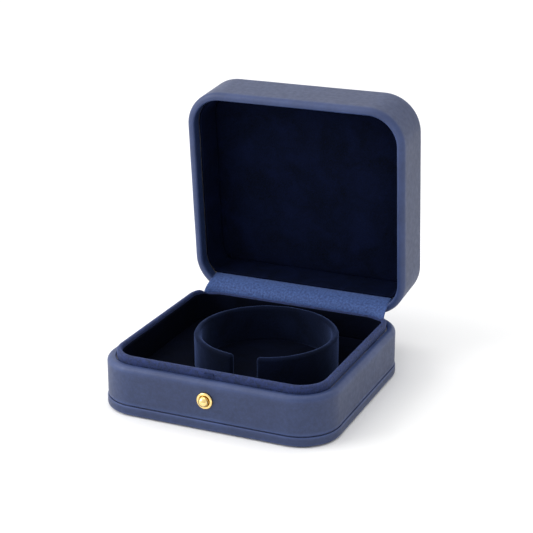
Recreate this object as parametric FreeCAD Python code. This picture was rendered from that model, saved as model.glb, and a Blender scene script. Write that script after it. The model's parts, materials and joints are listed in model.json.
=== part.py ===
import FreeCAD, Part
import math
import os

# Jewellery gift box for a bangle: a square tray with rounded corners, a deep hinged lid that stands
# open, a sprung push-button catch in the front wall, and a C-shaped collar that the bangle sits round.
#
# Millimetres.  +Z is up, -Y is the front, and the origin is the middle of the underside.
# Every lid piece is drawn closed and then turned back about the hinge axis to its open rest pose.

# ---- driving dimensions -------------------------------------------------------------------------
BASE_W = 100.0            # outer width of the tray walls
BASE_D = 95.0             # outer depth of the tray walls
CORNER_R = 16.5           # plan radius of the tray's outer corners
WALL_TOP = 21.0           # height of the tray walls
PLINTH_TOP = 4.4          # height of the seam above the plinth
PLINTH_OUT = 0.35         # how far the plinth stands out past the walls
FOOT_T = 0.5              # felt sheet under the plinth
FOOT_INSET = 2.0
PLINTH_WRAP = 8.0         # how far the covering is turned in under the plinth

COVER_T = 0.8             # leatherette with its backing
EDGE_R = 2.2              # outer rounding of the tray's top edge and of the lid's rim
LID_TOP_R = 2.5           # rounding round the top of the lid
FOLD_R = 0.7              # rounding where the covering folds over to the inside
SEAM_R = 0.4              # soft edge each side of the plinth seam

LID_H = 24.0              # height of the lid from rim to top
LID_INSET = 0.5           # the lid is this much smaller than the tray all round
LID_CORE_T = 2.4          # board of the lid walls
LID_ROOF_T = 2.0          # board of the lid top
RIM_GAP = 0.2             # closed gap between the lid's rim and the tray
OPEN_ANGLE = 84.5         # how far the lid swings from closed to its stop

FIT_GAP = 0.3             # lid wall to neck, closed
NECK_LAYER = 0.3          # cloth on each side of the neck board
NECK_BOARD_T = 1.5
NECK_RISE = 3.0           # neck above the tray walls at the front and sides
NECK_BACK_RISE = 0.9      # and at the back, where the hinge strip crosses it
NECK_BACK_RUN = 11.0      # length of the lowered back, measured in from the back wall
NECK_EDGE_R = 0.9

LINING_T = 0.8            # velvet on board inside the neck
LINING_DROP = 1.6         # top of the lining below the top of the neck
FOAM_T = 4.2
FLOOR_BOARD_T = 1.4
FLOOR_PAD_T = 1.4
PIECE_GAP = 0.1           # slip-in gap round the floor pieces

CHANNEL_FRONT = 13.6      # room for the bangle between the collar and the side lining
CHANNEL_BACK = 7.6
CHANNEL_RIGHT = 9.1
COLLAR_CORE_T = 1.6
COLLAR_CLOTH_T = 0.6
COLLAR_TOP = 24.5
COLLAR_GAP = 10.0         # opening between the collar's rounded ends
COLLAR_GAP_TURN = -84.0   # direction of the opening, degrees from +X
COLLAR_PAD_T = 1.2

LINER_RISE = 5.5          # bare band inside the lid, from the rim to the liner's edge
LINER_BOARD_T = 0.7
LINER_CLOTH_T = 0.5
HINGE_BLOCK_T = 3.6       # board that stands between the lid's back wall and its liner
PANEL_BOARD_T = 1.0
PANEL_PAD_T = 1.8

HINGE_INSET = 1.2         # hinge axis in from the tray's back face
BARREL_R = 1.0
PIN_R = 0.5
PIN_CLEAR = 0.03          # radial running clearance on the pin
PIN_HEAD_R = 0.85
PIN_HEAD_T = 0.3
HINGE_LEN = 60.0
KNUCKLES = 5
KNUCKLE_GAP = 0.15
BARREL_CLEAR = 0.2        # room round the barrel in tray and lid
LEAF_T = 0.5
LEAF_LOWER_H = 8.0
LEAF_UPPER_H = 8.0
LEAF_SCREWS = 3
LEAF_SCREW_PITCH = 22.0
LEAF_SCREW_R = 0.55
LEAF_SCREW_HEAD_R = 1.05
LEAF_SCREW_SHORT = 0.3    # shank ends this far inside the wall board

STRIP_T = 0.35            # woven hinge strip
STRIP_W = 85.0
STRIP_FLANGE_BASE = 8.5   # glued down behind the neck
STRIP_FLANGE_LID = 9.0    # glued up behind the liner
STRIP_FLAP = 1.5          # laid over the top of the neck
STRIP_TAIL = 2.6          # free end on the lid, along its slope
STRIP_TAIL_TURN = 40.0    # slope of that end, degrees from the liner's face

BUTTON_Z = 13.2
BEZEL_R = 3.4
BEZEL_PROUD = 1.0
BEZEL_EDGE_R = 0.45
BEZEL_TUBE_R = 2.5
BUTTON_R = 2.15
BUTTON_CLEAR = 0.08
BUTTON_STRAIGHT = 1.5     # plain side of the button outside the tray wall
BUTTON_DOME = 1.8
BUTTON_INSIDE = 0.9       # length of the button's head inside the tray wall
STEM_R = 0.8
STEM_CLEAR = 0.09
TENON_R = 0.5
TENON_CLEAR = 0.01
BEZEL_FLOOR_T = 0.6
BEZEL_BACK_GAP = 0.1      # bezel tube ends this far short of the neck
SPRING_WIRE_R = 0.13
SPRING_R = 1.45
SPRING_TURNS = 4
SPRING_END_GAP = 0.06

LATCH_T = 0.4
LATCH_W = 6.0
LATCH_TAIL = 2.0          # latch plate below the button's middle
LATCH_SEAT_GAP = 0.05     # latch plate behind the neck's front cloth
NOSE_W = 4.0
NOSE_T = 0.45
NOSE_RISE = 1.5           # underside of the nose above the tray wall
NOSE_BITE = 0.55          # nose past the lid's inner face
CLIP_R = 1.1
CLIP_T = 0.2
POCKET_CLEAR = 0.5        # room round the latch plate in the neck
KEEPER_T = 0.5
KEEPER_W = 10.0
KEEPER_H = 5.0
KEEPER_RISE = 0.75        # keeper's lower edge above the lid rim
KEEPER_SLOT_CLEAR = 0.2   # nose to slot, above and below
KEEPER_SCREW_R = 0.45
KEEPER_SCREW_HEAD_R = 0.8
KEEPER_SCREW_HEAD_T = 0.3
KEEPER_SCREW_LEN = 1.2

# ---- places worked out from them ----------------------------------------------------------------
NECK_IN = LID_INSET + COVER_T + LID_CORE_T + FIT_GAP     # outer face of the neck, from the tray's face
NECK_T = NECK_BOARD_T + 2 * NECK_LAYER
NECK_INNER = NECK_IN + NECK_T
LINING_INNER = NECK_INNER + LINING_T
NECK_TOP = WALL_TOP + NECK_RISE
NECK_BACK_TOP = WALL_TOP + NECK_BACK_RISE
LID_INNER = LID_INSET + COVER_T + LID_CORE_T
LID_RIM = WALL_TOP + RIM_GAP
LID_TOP = LID_RIM + LID_H
ROOF_UNDER = LID_TOP - COVER_T - LID_ROOF_T
PANEL_UNDER = ROOF_UNDER - PANEL_BOARD_T
LINER_T = LINER_BOARD_T + LINER_CLOTH_T
LINER_EDGE = LID_RIM + LINER_RISE
FOAM_TOP = PLINTH_TOP + FOAM_T
BOARD_TOP = FOAM_TOP + FLOOR_BOARD_T
FLOOR_TOP = BOARD_TOP + FLOOR_PAD_T
FRONT = -BASE_D / 2
BACK = BASE_D / 2
COLLAR_T = COLLAR_CORE_T + 2 * COLLAR_CLOTH_T
COLLAR_OUTER_R = BASE_D / 2 - LINING_INNER - (CHANNEL_FRONT + CHANNEL_BACK) / 2
COLLAR_R = COLLAR_OUTER_R - COLLAR_T / 2                  # middle of the collar's wall
COLLAR_X = BASE_W / 2 - LINING_INNER - CHANNEL_RIGHT - COLLAR_OUTER_R
COLLAR_Y = BACK - LINING_INNER - CHANNEL_BACK - COLLAR_OUTER_R
HINGE_Y = BACK - HINGE_INSET
HINGE_Z = WALL_TOP + RIM_GAP / 2
BEYOND = 2.0              # how far cutting tools run past what they cut

SIDE_X = FreeCAD.Vector(1, 0, 0)
INTO_BOX = FreeCAD.Vector(0, 1, 0)
UP = FreeCAD.Vector(0, 0, 1)


# ---- shapes that follow the box's outline -------------------------------------------------------
def outline(inset, z):
    """Closed wire at height z: the tray's rounded outline moved in by inset."""
    half_w = BASE_W / 2 - inset
    half_d = BASE_D / 2 - inset
    r = CORNER_R - inset
    cx = half_w - r
    cy = half_d - r
    diagonal = r * math.sqrt(0.5)
    edges = []
    for sx, sy in ((1, -1), (1, 1), (-1, 1), (-1, -1)):
        on_side = FreeCAD.Vector(sx * half_w, sy * cy, z)
        on_end = FreeCAD.Vector(sx * cx, sy * half_d, z)
        middle = FreeCAD.Vector(sx * (cx + diagonal), sy * (cy + diagonal), z)
        first, last = (on_end, on_side) if sx * sy < 0 else (on_side, on_end)
        if edges:
            edges.append(Part.makeLine(edges[-1].Vertexes[-1].Point, first))
        edges.append(Part.Arc(first, middle, last).toShape())
    edges.append(Part.makeLine(edges[-1].Vertexes[-1].Point, edges[0].Vertexes[0].Point))
    return Part.Wire(edges)


def slab(inset, low, high):
    """Prism on the box's outline, moved in by inset."""
    return Part.Face(outline(inset, low)).extrude(UP * (high - low))


def ring(outer, inner, low, high):
    """Wall that follows the box's outline, between two insets."""
    return slab(outer, low, high).cut(slab(inner, low - BEYOND, high + BEYOND))


def inset_of(point):
    """How far inside the tray's outline a point lies."""
    over_x = abs(point.x) - (BASE_W / 2 - CORNER_R)
    over_y = abs(point.y) - (BASE_D / 2 - CORNER_R)
    if over_x > 0 and over_y > 0:
        return CORNER_R - math.hypot(over_x, over_y)
    return min(BASE_W / 2 - abs(point.x), BASE_D / 2 - abs(point.y))


def round_loop(solid, inset, z, radius):
    """Round the edges that run along the outline at one inset and height."""
    loop = []
    for edge in solid.Edges:
        middle = edge.valueAt((edge.FirstParameter + edge.LastParameter) / 2)
        level = all(abs(v.Point.z - z) < 1e-4 for v in edge.Vertexes)
        if level and abs(middle.z - z) < 1e-4 and abs(inset_of(middle) - inset) < 1e-3:
            loop.append(edge)
    return solid.makeFillet(radius, loop)


def box(low, high):
    """Box between two corners given as (x, y, z)."""
    size = [b - a for a, b in zip(low, high)]
    return Part.makeBox(size[0], size[1], size[2], FreeCAD.Vector(*low))


def rod(radius, start, direction, length):
    return Part.makeCylinder(radius, length, FreeCAD.Vector(*start), direction)


def behind(y, low, high):
    """Everything further back than y, between two heights."""
    return box((-BASE_W, y, low), (BASE_W, BASE_D, high))


def fused(solids):
    whole = solids[0].fuse(solids[1:])
    return whole.removeSplitter()


# ---- tray ---------------------------------------------------------------------------------------
def make_plinth():
    board = slab(COVER_T - PLINTH_OUT, FOOT_T + COVER_T, PLINTH_TOP)
    cover = slab(-PLINTH_OUT, FOOT_T, PLINTH_TOP)
    cover = round_loop(cover, -PLINTH_OUT, PLINTH_TOP, SEAM_R)
    cover = round_loop(cover, -PLINTH_OUT, FOOT_T, COVER_T)
    cover = cover.cut([board, slab(PLINTH_WRAP, 0, FOOT_T + COVER_T)])
    foot = slab(FOOT_INSET, 0, FOOT_T).fuse(slab(PLINTH_WRAP, 0, FOOT_T + COVER_T)).removeSplitter()
    return {"plinth_board": board, "plinth_cover": cover, "felt_foot": foot}


def make_walls():
    core = ring(COVER_T, NECK_IN, PLINTH_TOP, WALL_TOP - COVER_T)
    core = round_loop(core, COVER_T, WALL_TOP - COVER_T, EDGE_R - COVER_T)
    cover = ring(0, NECK_IN, PLINTH_TOP, WALL_TOP)
    cover = round_loop(cover, 0, WALL_TOP, EDGE_R)
    cover = round_loop(cover, NECK_IN, WALL_TOP, FOLD_R)
    cover = round_loop(cover, 0, PLINTH_TOP, SEAM_R)
    return {"tray_wall_board": core, "tray_wall_cover": cover.cut(core)}


def make_neck():
    board_top = NECK_TOP - NECK_LAYER
    board = ring(NECK_IN + NECK_LAYER, NECK_INNER - NECK_LAYER, PLINTH_TOP, board_top)
    cloth = ring(NECK_IN, NECK_INNER, PLINTH_TOP, NECK_TOP)
    for inset in (NECK_IN, NECK_INNER):
        cloth = round_loop(cloth, inset, NECK_TOP, NECK_EDGE_R)
    for inset in (NECK_IN + NECK_LAYER, NECK_INNER - NECK_LAYER):
        board = round_loop(board, inset, board_top, NECK_EDGE_R - NECK_LAYER)
    cut_y = BACK - NECK_BACK_RUN
    board = board.cut(behind(cut_y - NECK_LAYER, NECK_BACK_TOP - NECK_LAYER, LID_TOP))
    cloth = cloth.cut([behind(cut_y, NECK_BACK_TOP, LID_TOP), board])
    lining = ring(NECK_INNER, LINING_INNER, BOARD_TOP, NECK_TOP - LINING_DROP)
    lining = round_loop(lining, LINING_INNER, NECK_TOP - LINING_DROP, LINING_T / 2)
    lining = lining.cut(behind(cut_y - NECK_LAYER, NECK_BACK_TOP - LINING_T / 2, LID_TOP))
    return {"neck_board": board, "neck_cloth": cloth, "tray_side_lining": lining}


def collar_plan(thickness, z):
    """C-shaped outline at height z: an arc of the given width with round ends."""
    half_gap = math.degrees((COLLAR_GAP + COLLAR_T) / 2 / COLLAR_R)
    start = math.radians(COLLAR_GAP_TURN + half_gap)
    stop = math.radians(COLLAR_GAP_TURN + 360 - half_gap)
    half = thickness / 2

    def on(radius, angle, dx=0.0, dy=0.0):
        return FreeCAD.Vector(
            COLLAR_X + radius * math.cos(angle) + dx, COLLAR_Y + radius * math.sin(angle) + dy, z)

    middle = (start + stop) / 2
    outer = Part.Arc(on(COLLAR_R + half, start), on(COLLAR_R + half, middle), on(COLLAR_R + half, stop))
    inner = Part.Arc(on(COLLAR_R - half, stop), on(COLLAR_R - half, middle), on(COLLAR_R - half, start))
    tip_stop = on(COLLAR_R, stop, -half * math.sin(stop), half * math.cos(stop))
    tip_start = on(COLLAR_R, start, half * math.sin(start), -half * math.cos(start))
    end_stop = Part.Arc(on(COLLAR_R + half, stop), tip_stop, on(COLLAR_R - half, stop))
    end_start = Part.Arc(on(COLLAR_R - half, start), tip_start, on(COLLAR_R + half, start))
    return Part.Wire([arc.toShape() for arc in (outer, end_stop, inner, end_start)])


def collar_wall(thickness, low, high):
    return Part.Face(collar_plan(thickness, low)).extrude(UP * (high - low))


def make_collar_and_floor():
    core = collar_wall(COLLAR_CORE_T, FOAM_TOP, COLLAR_TOP - COLLAR_CLOTH_T)
    cloth = collar_wall(COLLAR_T, FOAM_TOP, COLLAR_TOP)
    top_edges = [e for e in cloth.Edges if all(abs(v.Point.z - COLLAR_TOP) < 1e-4 for v in e.Vertexes)]
    cloth = cloth.makeFillet(COLLAR_T / 2 - PIECE_GAP, top_edges)
    well_r = COLLAR_R - COLLAR_T / 2 - PIECE_GAP
    well_pad = rod(well_r, (COLLAR_X, COLLAR_Y, FOAM_TOP), UP, COLLAR_PAD_T)
    opening = collar_wall(COLLAR_T + 2 * PIECE_GAP, 0, LID_TOP)
    opening = opening.fuse(rod(well_r + PIECE_GAP, (COLLAR_X, COLLAR_Y, 0), UP, LID_TOP))
    edge = NECK_INNER + PIECE_GAP
    return {
        "floor_foam": slab(edge, PLINTH_TOP, FOAM_TOP),
        "floor_board": slab(edge, FOAM_TOP, BOARD_TOP).cut(opening),
        "floor_velvet_pad": slab(LINING_INNER + PIECE_GAP, BOARD_TOP, FLOOR_TOP).cut(opening),
        "collar_board": core,
        "collar_velvet": cloth.cut(core),
        "collar_floor_pad": well_pad,
    }


# ---- lid, drawn closed --------------------------------------------------------------------------
def liner_block(inset, back_y, low, high):
    """Inside of the lid in plan: the outline moved in by inset, and cut straight across at the back."""
    return slab(inset, low, high).cut(behind(back_y, low - BEYOND, high + BEYOND))


def make_lid():
    core_in = LID_INSET + COVER_T
    core = ring(core_in, LID_INNER, LID_RIM + COVER_T, ROOF_UNDER)
    core = round_loop(core, core_in, LID_RIM + COVER_T, EDGE_R - COVER_T)
    roof = slab(core_in, ROOF_UNDER, LID_TOP - COVER_T)
    roof = round_loop(roof, core_in, LID_TOP - COVER_T, LID_TOP_R - COVER_T)
    cover = slab(LID_INSET, LID_RIM, LID_TOP).cut(slab(LID_INNER, LID_RIM - BEYOND, ROOF_UNDER))
    cover = round_loop(cover, LID_INSET, LID_TOP, LID_TOP_R)
    cover = round_loop(cover, LID_INSET, LID_RIM, EDGE_R)
    cover = round_loop(cover, LID_INNER, LID_RIM, FOLD_R)
    cover = cover.cut([core, roof])

    block_y = BACK - LID_INNER - HINGE_BLOCK_T
    liner_y = block_y - LINER_T
    hinge_block = slab(LID_INNER, LINER_EDGE, PANEL_UNDER)
    hinge_block = hinge_block.common(behind(block_y + STRIP_T, LINER_EDGE - BEYOND, LID_TOP))
    cloth = liner_block(LID_INNER, block_y, LINER_EDGE, PANEL_UNDER)
    hollow = liner_block(LID_INNER + LINER_T, liner_y, LINER_EDGE - BEYOND, LID_TOP)
    cloth = cloth.cut(hollow)
    board = liner_block(LID_INNER, block_y, LINER_EDGE + LINER_CLOTH_T, PANEL_UNDER)
    board_hollow = liner_block(LID_INNER + LINER_BOARD_T, block_y - LINER_BOARD_T, 0, LID_TOP)
    board = board.cut(board_hollow)

    pad_in = LID_INNER + LINER_T + PIECE_GAP
    pad = liner_block(pad_in, liner_y - PIECE_GAP, PANEL_UNDER - PANEL_PAD_T, PANEL_UNDER)
    return {
        "lid_wall_board": core,
        "lid_roof_board": roof,
        "lid_cover": cover,
        "lid_hinge_block": hinge_block,
        "lid_liner_board": board,
        "lid_liner_velvet": cloth.cut(board),
        "lid_panel_board": slab(LID_INNER + PIECE_GAP, PANEL_UNDER, ROOF_UNDER),
        "lid_panel_pad": pad,
    }


# ---- hinge --------------------------------------------------------------------------------------
def knuckle_spans():
    """Start and end of each knuckle along X, first to last."""
    length = (HINGE_LEN - (KNUCKLES - 1) * KNUCKLE_GAP) / KNUCKLES
    starts = [-HINGE_LEN / 2 + i * (length + KNUCKLE_GAP) for i in range(KNUCKLES)]
    return [(start, start + length) for start in starts]


def make_leaf(spans, flange_y, tread_z, flange_z):
    """Angle leaf: a tread to the barrel, a flange down the inside of the wall, and its knuckles."""
    half = HINGE_LEN / 2
    clear_y = HINGE_Y - BARREL_R - BARREL_CLEAR
    low_z, high_z = sorted(flange_z)
    solids = [
        box((-half, flange_y, tread_z), (half, clear_y, tread_z + LEAF_T)),
        box((-half, flange_y, low_z), (half, flange_y + LEAF_T, high_z)),
    ]
    for start, end in spans:
        solids.append(box((start, flange_y, tread_z), (end, HINGE_Y, tread_z + LEAF_T)))
        solids.append(rod(BARREL_R, (start, HINGE_Y, HINGE_Z), SIDE_X, end - start))
    bore = rod(PIN_R + PIN_CLEAR, (-BASE_W, HINGE_Y, HINGE_Z), SIDE_X, 2 * BASE_W)
    return fused(solids).cut(bore)


def leaf_screws(flange_y, board_t, z):
    """Countersunk screws through a leaf's flange into the wall board, heads flush with the flange."""
    first = -LEAF_SCREW_PITCH * (LEAF_SCREWS - 1) / 2
    shank_len = board_t - LEAF_T - LEAF_SCREW_SHORT
    screws = []
    for i in range(LEAF_SCREWS):
        at = FreeCAD.Vector(first + i * LEAF_SCREW_PITCH, flange_y, z)
        head = Part.makeCone(LEAF_SCREW_HEAD_R, LEAF_SCREW_R, LEAF_T, at, INTO_BOX)
        shank = rod(LEAF_SCREW_R, tuple(at + INTO_BOX * LEAF_T), INTO_BOX, shank_len)
        screws.append(head.fuse(shank).removeSplitter())
    return screws


def hinge_room(flange_y, tread_z, flange_z):
    """What a wall loses to the hinge: a groove round the barrel, and the seat of its leaf."""
    half = HINGE_LEN / 2 + PIN_CLEAR + PIN_HEAD_T + KNUCKLE_GAP
    groove = rod(BARREL_R + BARREL_CLEAR, (-half, HINGE_Y, HINGE_Z), SIDE_X, 2 * half)
    half = HINGE_LEN / 2
    low_z, high_z = sorted(flange_z)
    flange = box((-half, flange_y, low_z), (half, flange_y + LEAF_T, high_z))
    tread_low = min(tread_z, LID_RIM)
    tread_high = max(tread_z + LEAF_T, WALL_TOP)
    return groove.fuse([flange, box((-half, flange_y, tread_low), (half, HINGE_Y, tread_high))])


def make_hinge():
    spans = knuckle_spans()
    tread_low = WALL_TOP - RIM_GAP / 2 - LEAF_T
    tread_high = LID_RIM + RIM_GAP / 2
    lower_y = BACK - NECK_IN
    upper_y = BACK - LID_INNER
    lower_seat = (lower_y, tread_low, (tread_low - LEAF_LOWER_H, tread_low + LEAF_T))
    upper_seat = (upper_y, tread_high, (tread_high, tread_high + LEAF_UPPER_H))
    lower = make_leaf(spans[0::2], *lower_seat)
    upper = make_leaf(spans[1::2], *upper_seat)
    lower_screws = leaf_screws(lower_y, NECK_IN - COVER_T, tread_low - LEAF_LOWER_H / 2)
    upper_screws = leaf_screws(upper_y, LID_CORE_T, tread_high + LEAF_UPPER_H - 2 * LEAF_SCREW_HEAD_R)

    head_x = HINGE_LEN / 2 + PIN_CLEAR
    pin = rod(PIN_R, (-head_x, HINGE_Y, HINGE_Z), SIDE_X, 2 * head_x)
    head_starts = (-head_x - PIN_HEAD_T, head_x)
    heads = [rod(PIN_HEAD_R, (x, HINGE_Y, HINGE_Z), SIDE_X, PIN_HEAD_T) for x in head_starts]
    return {
        "hinge_leaf_lower": lower.cut(lower_screws),
        "hinge_leaf_upper": upper.cut(upper_screws),
        "hinge_screws_lower": Part.makeCompound(lower_screws),
        "hinge_screws_upper": Part.makeCompound(upper_screws),
        "hinge_pin": fused([pin] + heads),
    }, hinge_room(*lower_seat), hinge_room(*upper_seat)


def make_strip():
    """The two glued ends of the woven strip that covers the hinge."""
    half = STRIP_W / 2
    straight = BASE_W / 2 - CORNER_R
    back_of_neck = BACK - NECK_IN
    flange = box((-straight, back_of_neck - NECK_LAYER, NECK_BACK_TOP - STRIP_FLANGE_BASE),
                 (straight, back_of_neck, NECK_BACK_TOP))
    flap = box((-half, back_of_neck - STRIP_FLAP, NECK_BACK_TOP),
               (half, back_of_neck, NECK_BACK_TOP + STRIP_T))
    flap = flap.common(slab(NECK_IN + PIECE_GAP, 0, LID_TOP))
    glued_y = BACK - LID_INNER - HINGE_BLOCK_T
    tail = box((-straight, glued_y, LINER_EDGE - STRIP_TAIL), (straight, glued_y + STRIP_T, LINER_EDGE))
    tail.rotate(FreeCAD.Vector(0, glued_y, LINER_EDGE), SIDE_X, STRIP_TAIL_TURN)
    upper = box((-straight, glued_y, LINER_EDGE),
                (straight, glued_y + STRIP_T, LINER_EDGE + STRIP_FLANGE_LID))
    return {
        "hinge_strip_tray_end": fused([flange, flap]),
        "hinge_strip_lid_end": fused([upper, tail]),
    }


# ---- catch --------------------------------------------------------------------------------------
def make_catch():
    """Sprung button, its bezel, and the latch plate whose nose holds the lid's keeper."""
    def on_axis(y):
        return (0, y, BUTTON_Z)

    tube_end = FRONT + NECK_IN - BEZEL_BACK_GAP
    flange = rod(BEZEL_R, on_axis(FRONT - BEZEL_PROUD), INTO_BOX, BEZEL_PROUD)
    rim = [e for e in flange.Edges if abs(e.BoundBox.YMax - FRONT + BEZEL_PROUD) < 1e-4]
    flange = flange.makeFillet(BEZEL_EDGE_R, rim)
    tube = rod(BEZEL_TUBE_R, on_axis(FRONT), INTO_BOX, tube_end - FRONT)
    bore_y = tube_end - BEZEL_FLOOR_T
    bore = rod(BUTTON_R + BUTTON_CLEAR, on_axis(FRONT - BEZEL_PROUD - BEYOND), INTO_BOX,
               bore_y - FRONT + BEZEL_PROUD + BEYOND)
    stem_hole = rod(STEM_R + STEM_CLEAR, on_axis(FRONT), INTO_BOX, BASE_D)
    bezel = fused([flange, tube]).cut([bore, stem_hole])

    head_back = FRONT + BUTTON_INSIDE
    side_end = FRONT - BUTTON_STRAIGHT
    plate_y = FRONT + NECK_IN + NECK_LAYER + LATCH_SEAT_GAP
    tenon_end = plate_y + LATCH_T + CLIP_T
    dome_tip = side_end - BUTTON_DOME
    profile = [
        (0, tenon_end), (TENON_R, tenon_end), (TENON_R, plate_y), (STEM_R, plate_y), (STEM_R, head_back),
        (BUTTON_R, head_back), (BUTTON_R, side_end),
    ]
    points = [FreeCAD.Vector(x, y, BUTTON_Z) for x, y in profile]
    edges = [Part.makeLine(a, b) for a, b in zip(points, points[1:])]
    dome_r = (BUTTON_R ** 2 + BUTTON_DOME ** 2) / (2 * BUTTON_DOME)
    shoulder = math.asin(BUTTON_R / dome_r) / 2
    halfway = FreeCAD.Vector(dome_r * math.sin(shoulder),
                             dome_tip + dome_r * (1 - math.cos(shoulder)), BUTTON_Z)
    tip = FreeCAD.Vector(0, dome_tip, BUTTON_Z)
    edges.append(Part.Arc(points[-1], halfway, tip).toShape())
    edges.append(Part.makeLine(tip, points[0]))
    button = Part.Face(Part.Wire(edges)).revolve(FreeCAD.Vector(*on_axis(0)), INTO_BOX, 360)

    spring_low = head_back + SPRING_END_GAP + SPRING_WIRE_R
    spring_high = bore_y - SPRING_END_GAP - SPRING_WIRE_R
    helix = Part.makeHelix((spring_high - spring_low) / SPRING_TURNS, spring_high - spring_low, SPRING_R)
    wire_end = Part.Wire(Part.makeCircle(SPRING_WIRE_R, FreeCAD.Vector(SPRING_R, 0, 0), INTO_BOX))
    spring = Part.Wire(helix).makePipeShell([wire_end], True, True)
    spring.rotate(FreeCAD.Vector(0, 0, 0), SIDE_X, -90)
    spring.translate(FreeCAD.Vector(*on_axis(spring_low)))

    nose_low = WALL_TOP + NOSE_RISE
    nose_tip = FRONT + LID_INNER - NOSE_BITE
    plate = box((-LATCH_W / 2, plate_y, BUTTON_Z - LATCH_TAIL),
                (LATCH_W / 2, plate_y + LATCH_T, nose_low + NOSE_T))
    nose = box((-NOSE_W / 2, nose_tip, nose_low), (NOSE_W / 2, plate_y + LATCH_T, nose_low + NOSE_T))
    tenon_hole = rod(TENON_R + TENON_CLEAR, on_axis(FRONT), INTO_BOX, BASE_D)
    clip = rod(CLIP_R, on_axis(plate_y + LATCH_T), INTO_BOX, CLIP_T)
    return {
        "clasp_bezel": bezel,
        "push_button": button,
        "button_spring": spring,
        "latch_plate": fused([plate, nose]).cut(tenon_hole),
        "latch_clip": clip.cut(tenon_hole),
    }


def make_keeper():
    """Slotted plate in the lid's front wall, and its two screws."""
    face_y = FRONT + LID_INNER
    low_z = LID_RIM + KEEPER_RISE
    slot_low = WALL_TOP + NOSE_RISE - KEEPER_SLOT_CLEAR
    slot_high = WALL_TOP + NOSE_RISE + NOSE_T + KEEPER_SLOT_CLEAR
    slot_half = NOSE_W / 2 + KEEPER_SLOT_CLEAR
    plate = box((-KEEPER_W / 2, face_y - KEEPER_T, low_z), (KEEPER_W / 2, face_y, low_z + KEEPER_H))
    slot = box((-slot_half, face_y - KEEPER_T - BEYOND, slot_low), (slot_half, face_y + BEYOND, slot_high))
    screw_z = (slot_high + low_z + KEEPER_H) / 2
    screws = []
    for side in (-1, 1):
        x = side * (KEEPER_W / 2 - 2 * KEEPER_SCREW_HEAD_R)
        shank_len = KEEPER_T + KEEPER_SCREW_LEN
        head = rod(KEEPER_SCREW_HEAD_R, (x, face_y, screw_z), INTO_BOX, KEEPER_SCREW_HEAD_T)
        shank = rod(KEEPER_SCREW_R, (x, face_y - shank_len, screw_z), INTO_BOX, shank_len)
        screws.append(head.fuse(shank).removeSplitter())
    return {
        "keeper_plate": plate.cut([slot] + screws),
        "keeper_screws": Part.makeCompound(screws),
    }, plate.fuse(slot.common(slab(LID_INSET + COVER_T, LID_RIM, LID_TOP)))


# ---- fitting the pieces to each other -----------------------------------------------------------
def cut_for_hinge_and_catch(tray, lid, hinge, keeper, lower_room, upper_room, keeper_room):
    """Take the hinge, the strip and the catch out of the boards and coverings round them."""
    tube_hole = rod(BEZEL_TUBE_R, (0, FRONT - BEYOND, BUTTON_Z), INTO_BOX, NECK_IN + BEYOND)
    tray["tray_wall_cover"] = tray["tray_wall_cover"].cut([lower_room, tube_hole])
    tray["tray_wall_board"] = tray["tray_wall_board"].cut(
        [lower_room, tube_hole, hinge["hinge_screws_lower"]])
    lid["lid_cover"] = lid["lid_cover"].cut([upper_room, keeper_room])
    lid["lid_hinge_block"] = lid["lid_hinge_block"].cut(hinge["hinge_strip_lid_end"])
    lid["lid_wall_board"] = lid["lid_wall_board"].cut(
        [upper_room, keeper_room, hinge["hinge_screws_upper"], keeper["keeper_screws"]])

    neck_front = FRONT + NECK_IN
    nose_low = WALL_TOP + NOSE_RISE
    half_pocket = LATCH_W / 2 + POCKET_CLEAR
    pocket = box(
        (-half_pocket, neck_front + NECK_LAYER, BUTTON_Z - LATCH_TAIL - POCKET_CLEAR),
        (half_pocket, neck_front + NECK_LAYER + NECK_BOARD_T, nose_low + NOSE_T + KEEPER_SLOT_CLEAR))
    half_window = NOSE_W / 2 + KEEPER_SLOT_CLEAR
    window = box(
        (-half_window, neck_front - BEYOND, nose_low - KEEPER_SLOT_CLEAR),
        (half_window, neck_front + NECK_LAYER, nose_low + NOSE_T + KEEPER_SLOT_CLEAR))
    stem_room = rod(STEM_R + POCKET_CLEAR, (0, neck_front - BEYOND, BUTTON_Z), INTO_BOX, BEYOND + NECK_LAYER)
    tray["neck_board"] = tray["neck_board"].cut(pocket)
    tray["neck_cloth"] = tray["neck_cloth"].cut([window, stem_room, hinge["hinge_strip_tray_end"]])


def main():
    os.makedirs("parts", exist_ok=True)
    tray = {}
    for make in (make_plinth, make_walls, make_neck, make_collar_and_floor):
        tray.update(make())
    lid = make_lid()
    hinge, lower_room, upper_room = make_hinge()
    hinge.update(make_strip())
    catch = make_catch()
    keeper, keeper_room = make_keeper()
    cut_for_hinge_and_catch(tray, lid, hinge, keeper, lower_room, upper_room, keeper_room)

    on_lid = ("hinge_leaf_upper", "hinge_screws_upper", "hinge_strip_lid_end")
    lid_side = {**lid, **keeper, **{name: hinge[name] for name in on_lid}}
    for shape in lid_side.values():
        shape.rotate(FreeCAD.Vector(0, HINGE_Y, HINGE_Z), SIDE_X, -OPEN_ANGLE)

    nodes = {**tray, **lid_side, **hinge, **catch}
    for name, shape in nodes.items():
        shape.exportStep("parts/" + name + ".step")
    print(len(nodes), "nodes")


main()
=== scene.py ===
import json
import math

import bmesh
import bpy
from mathutils import Matrix, Vector, noise


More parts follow.
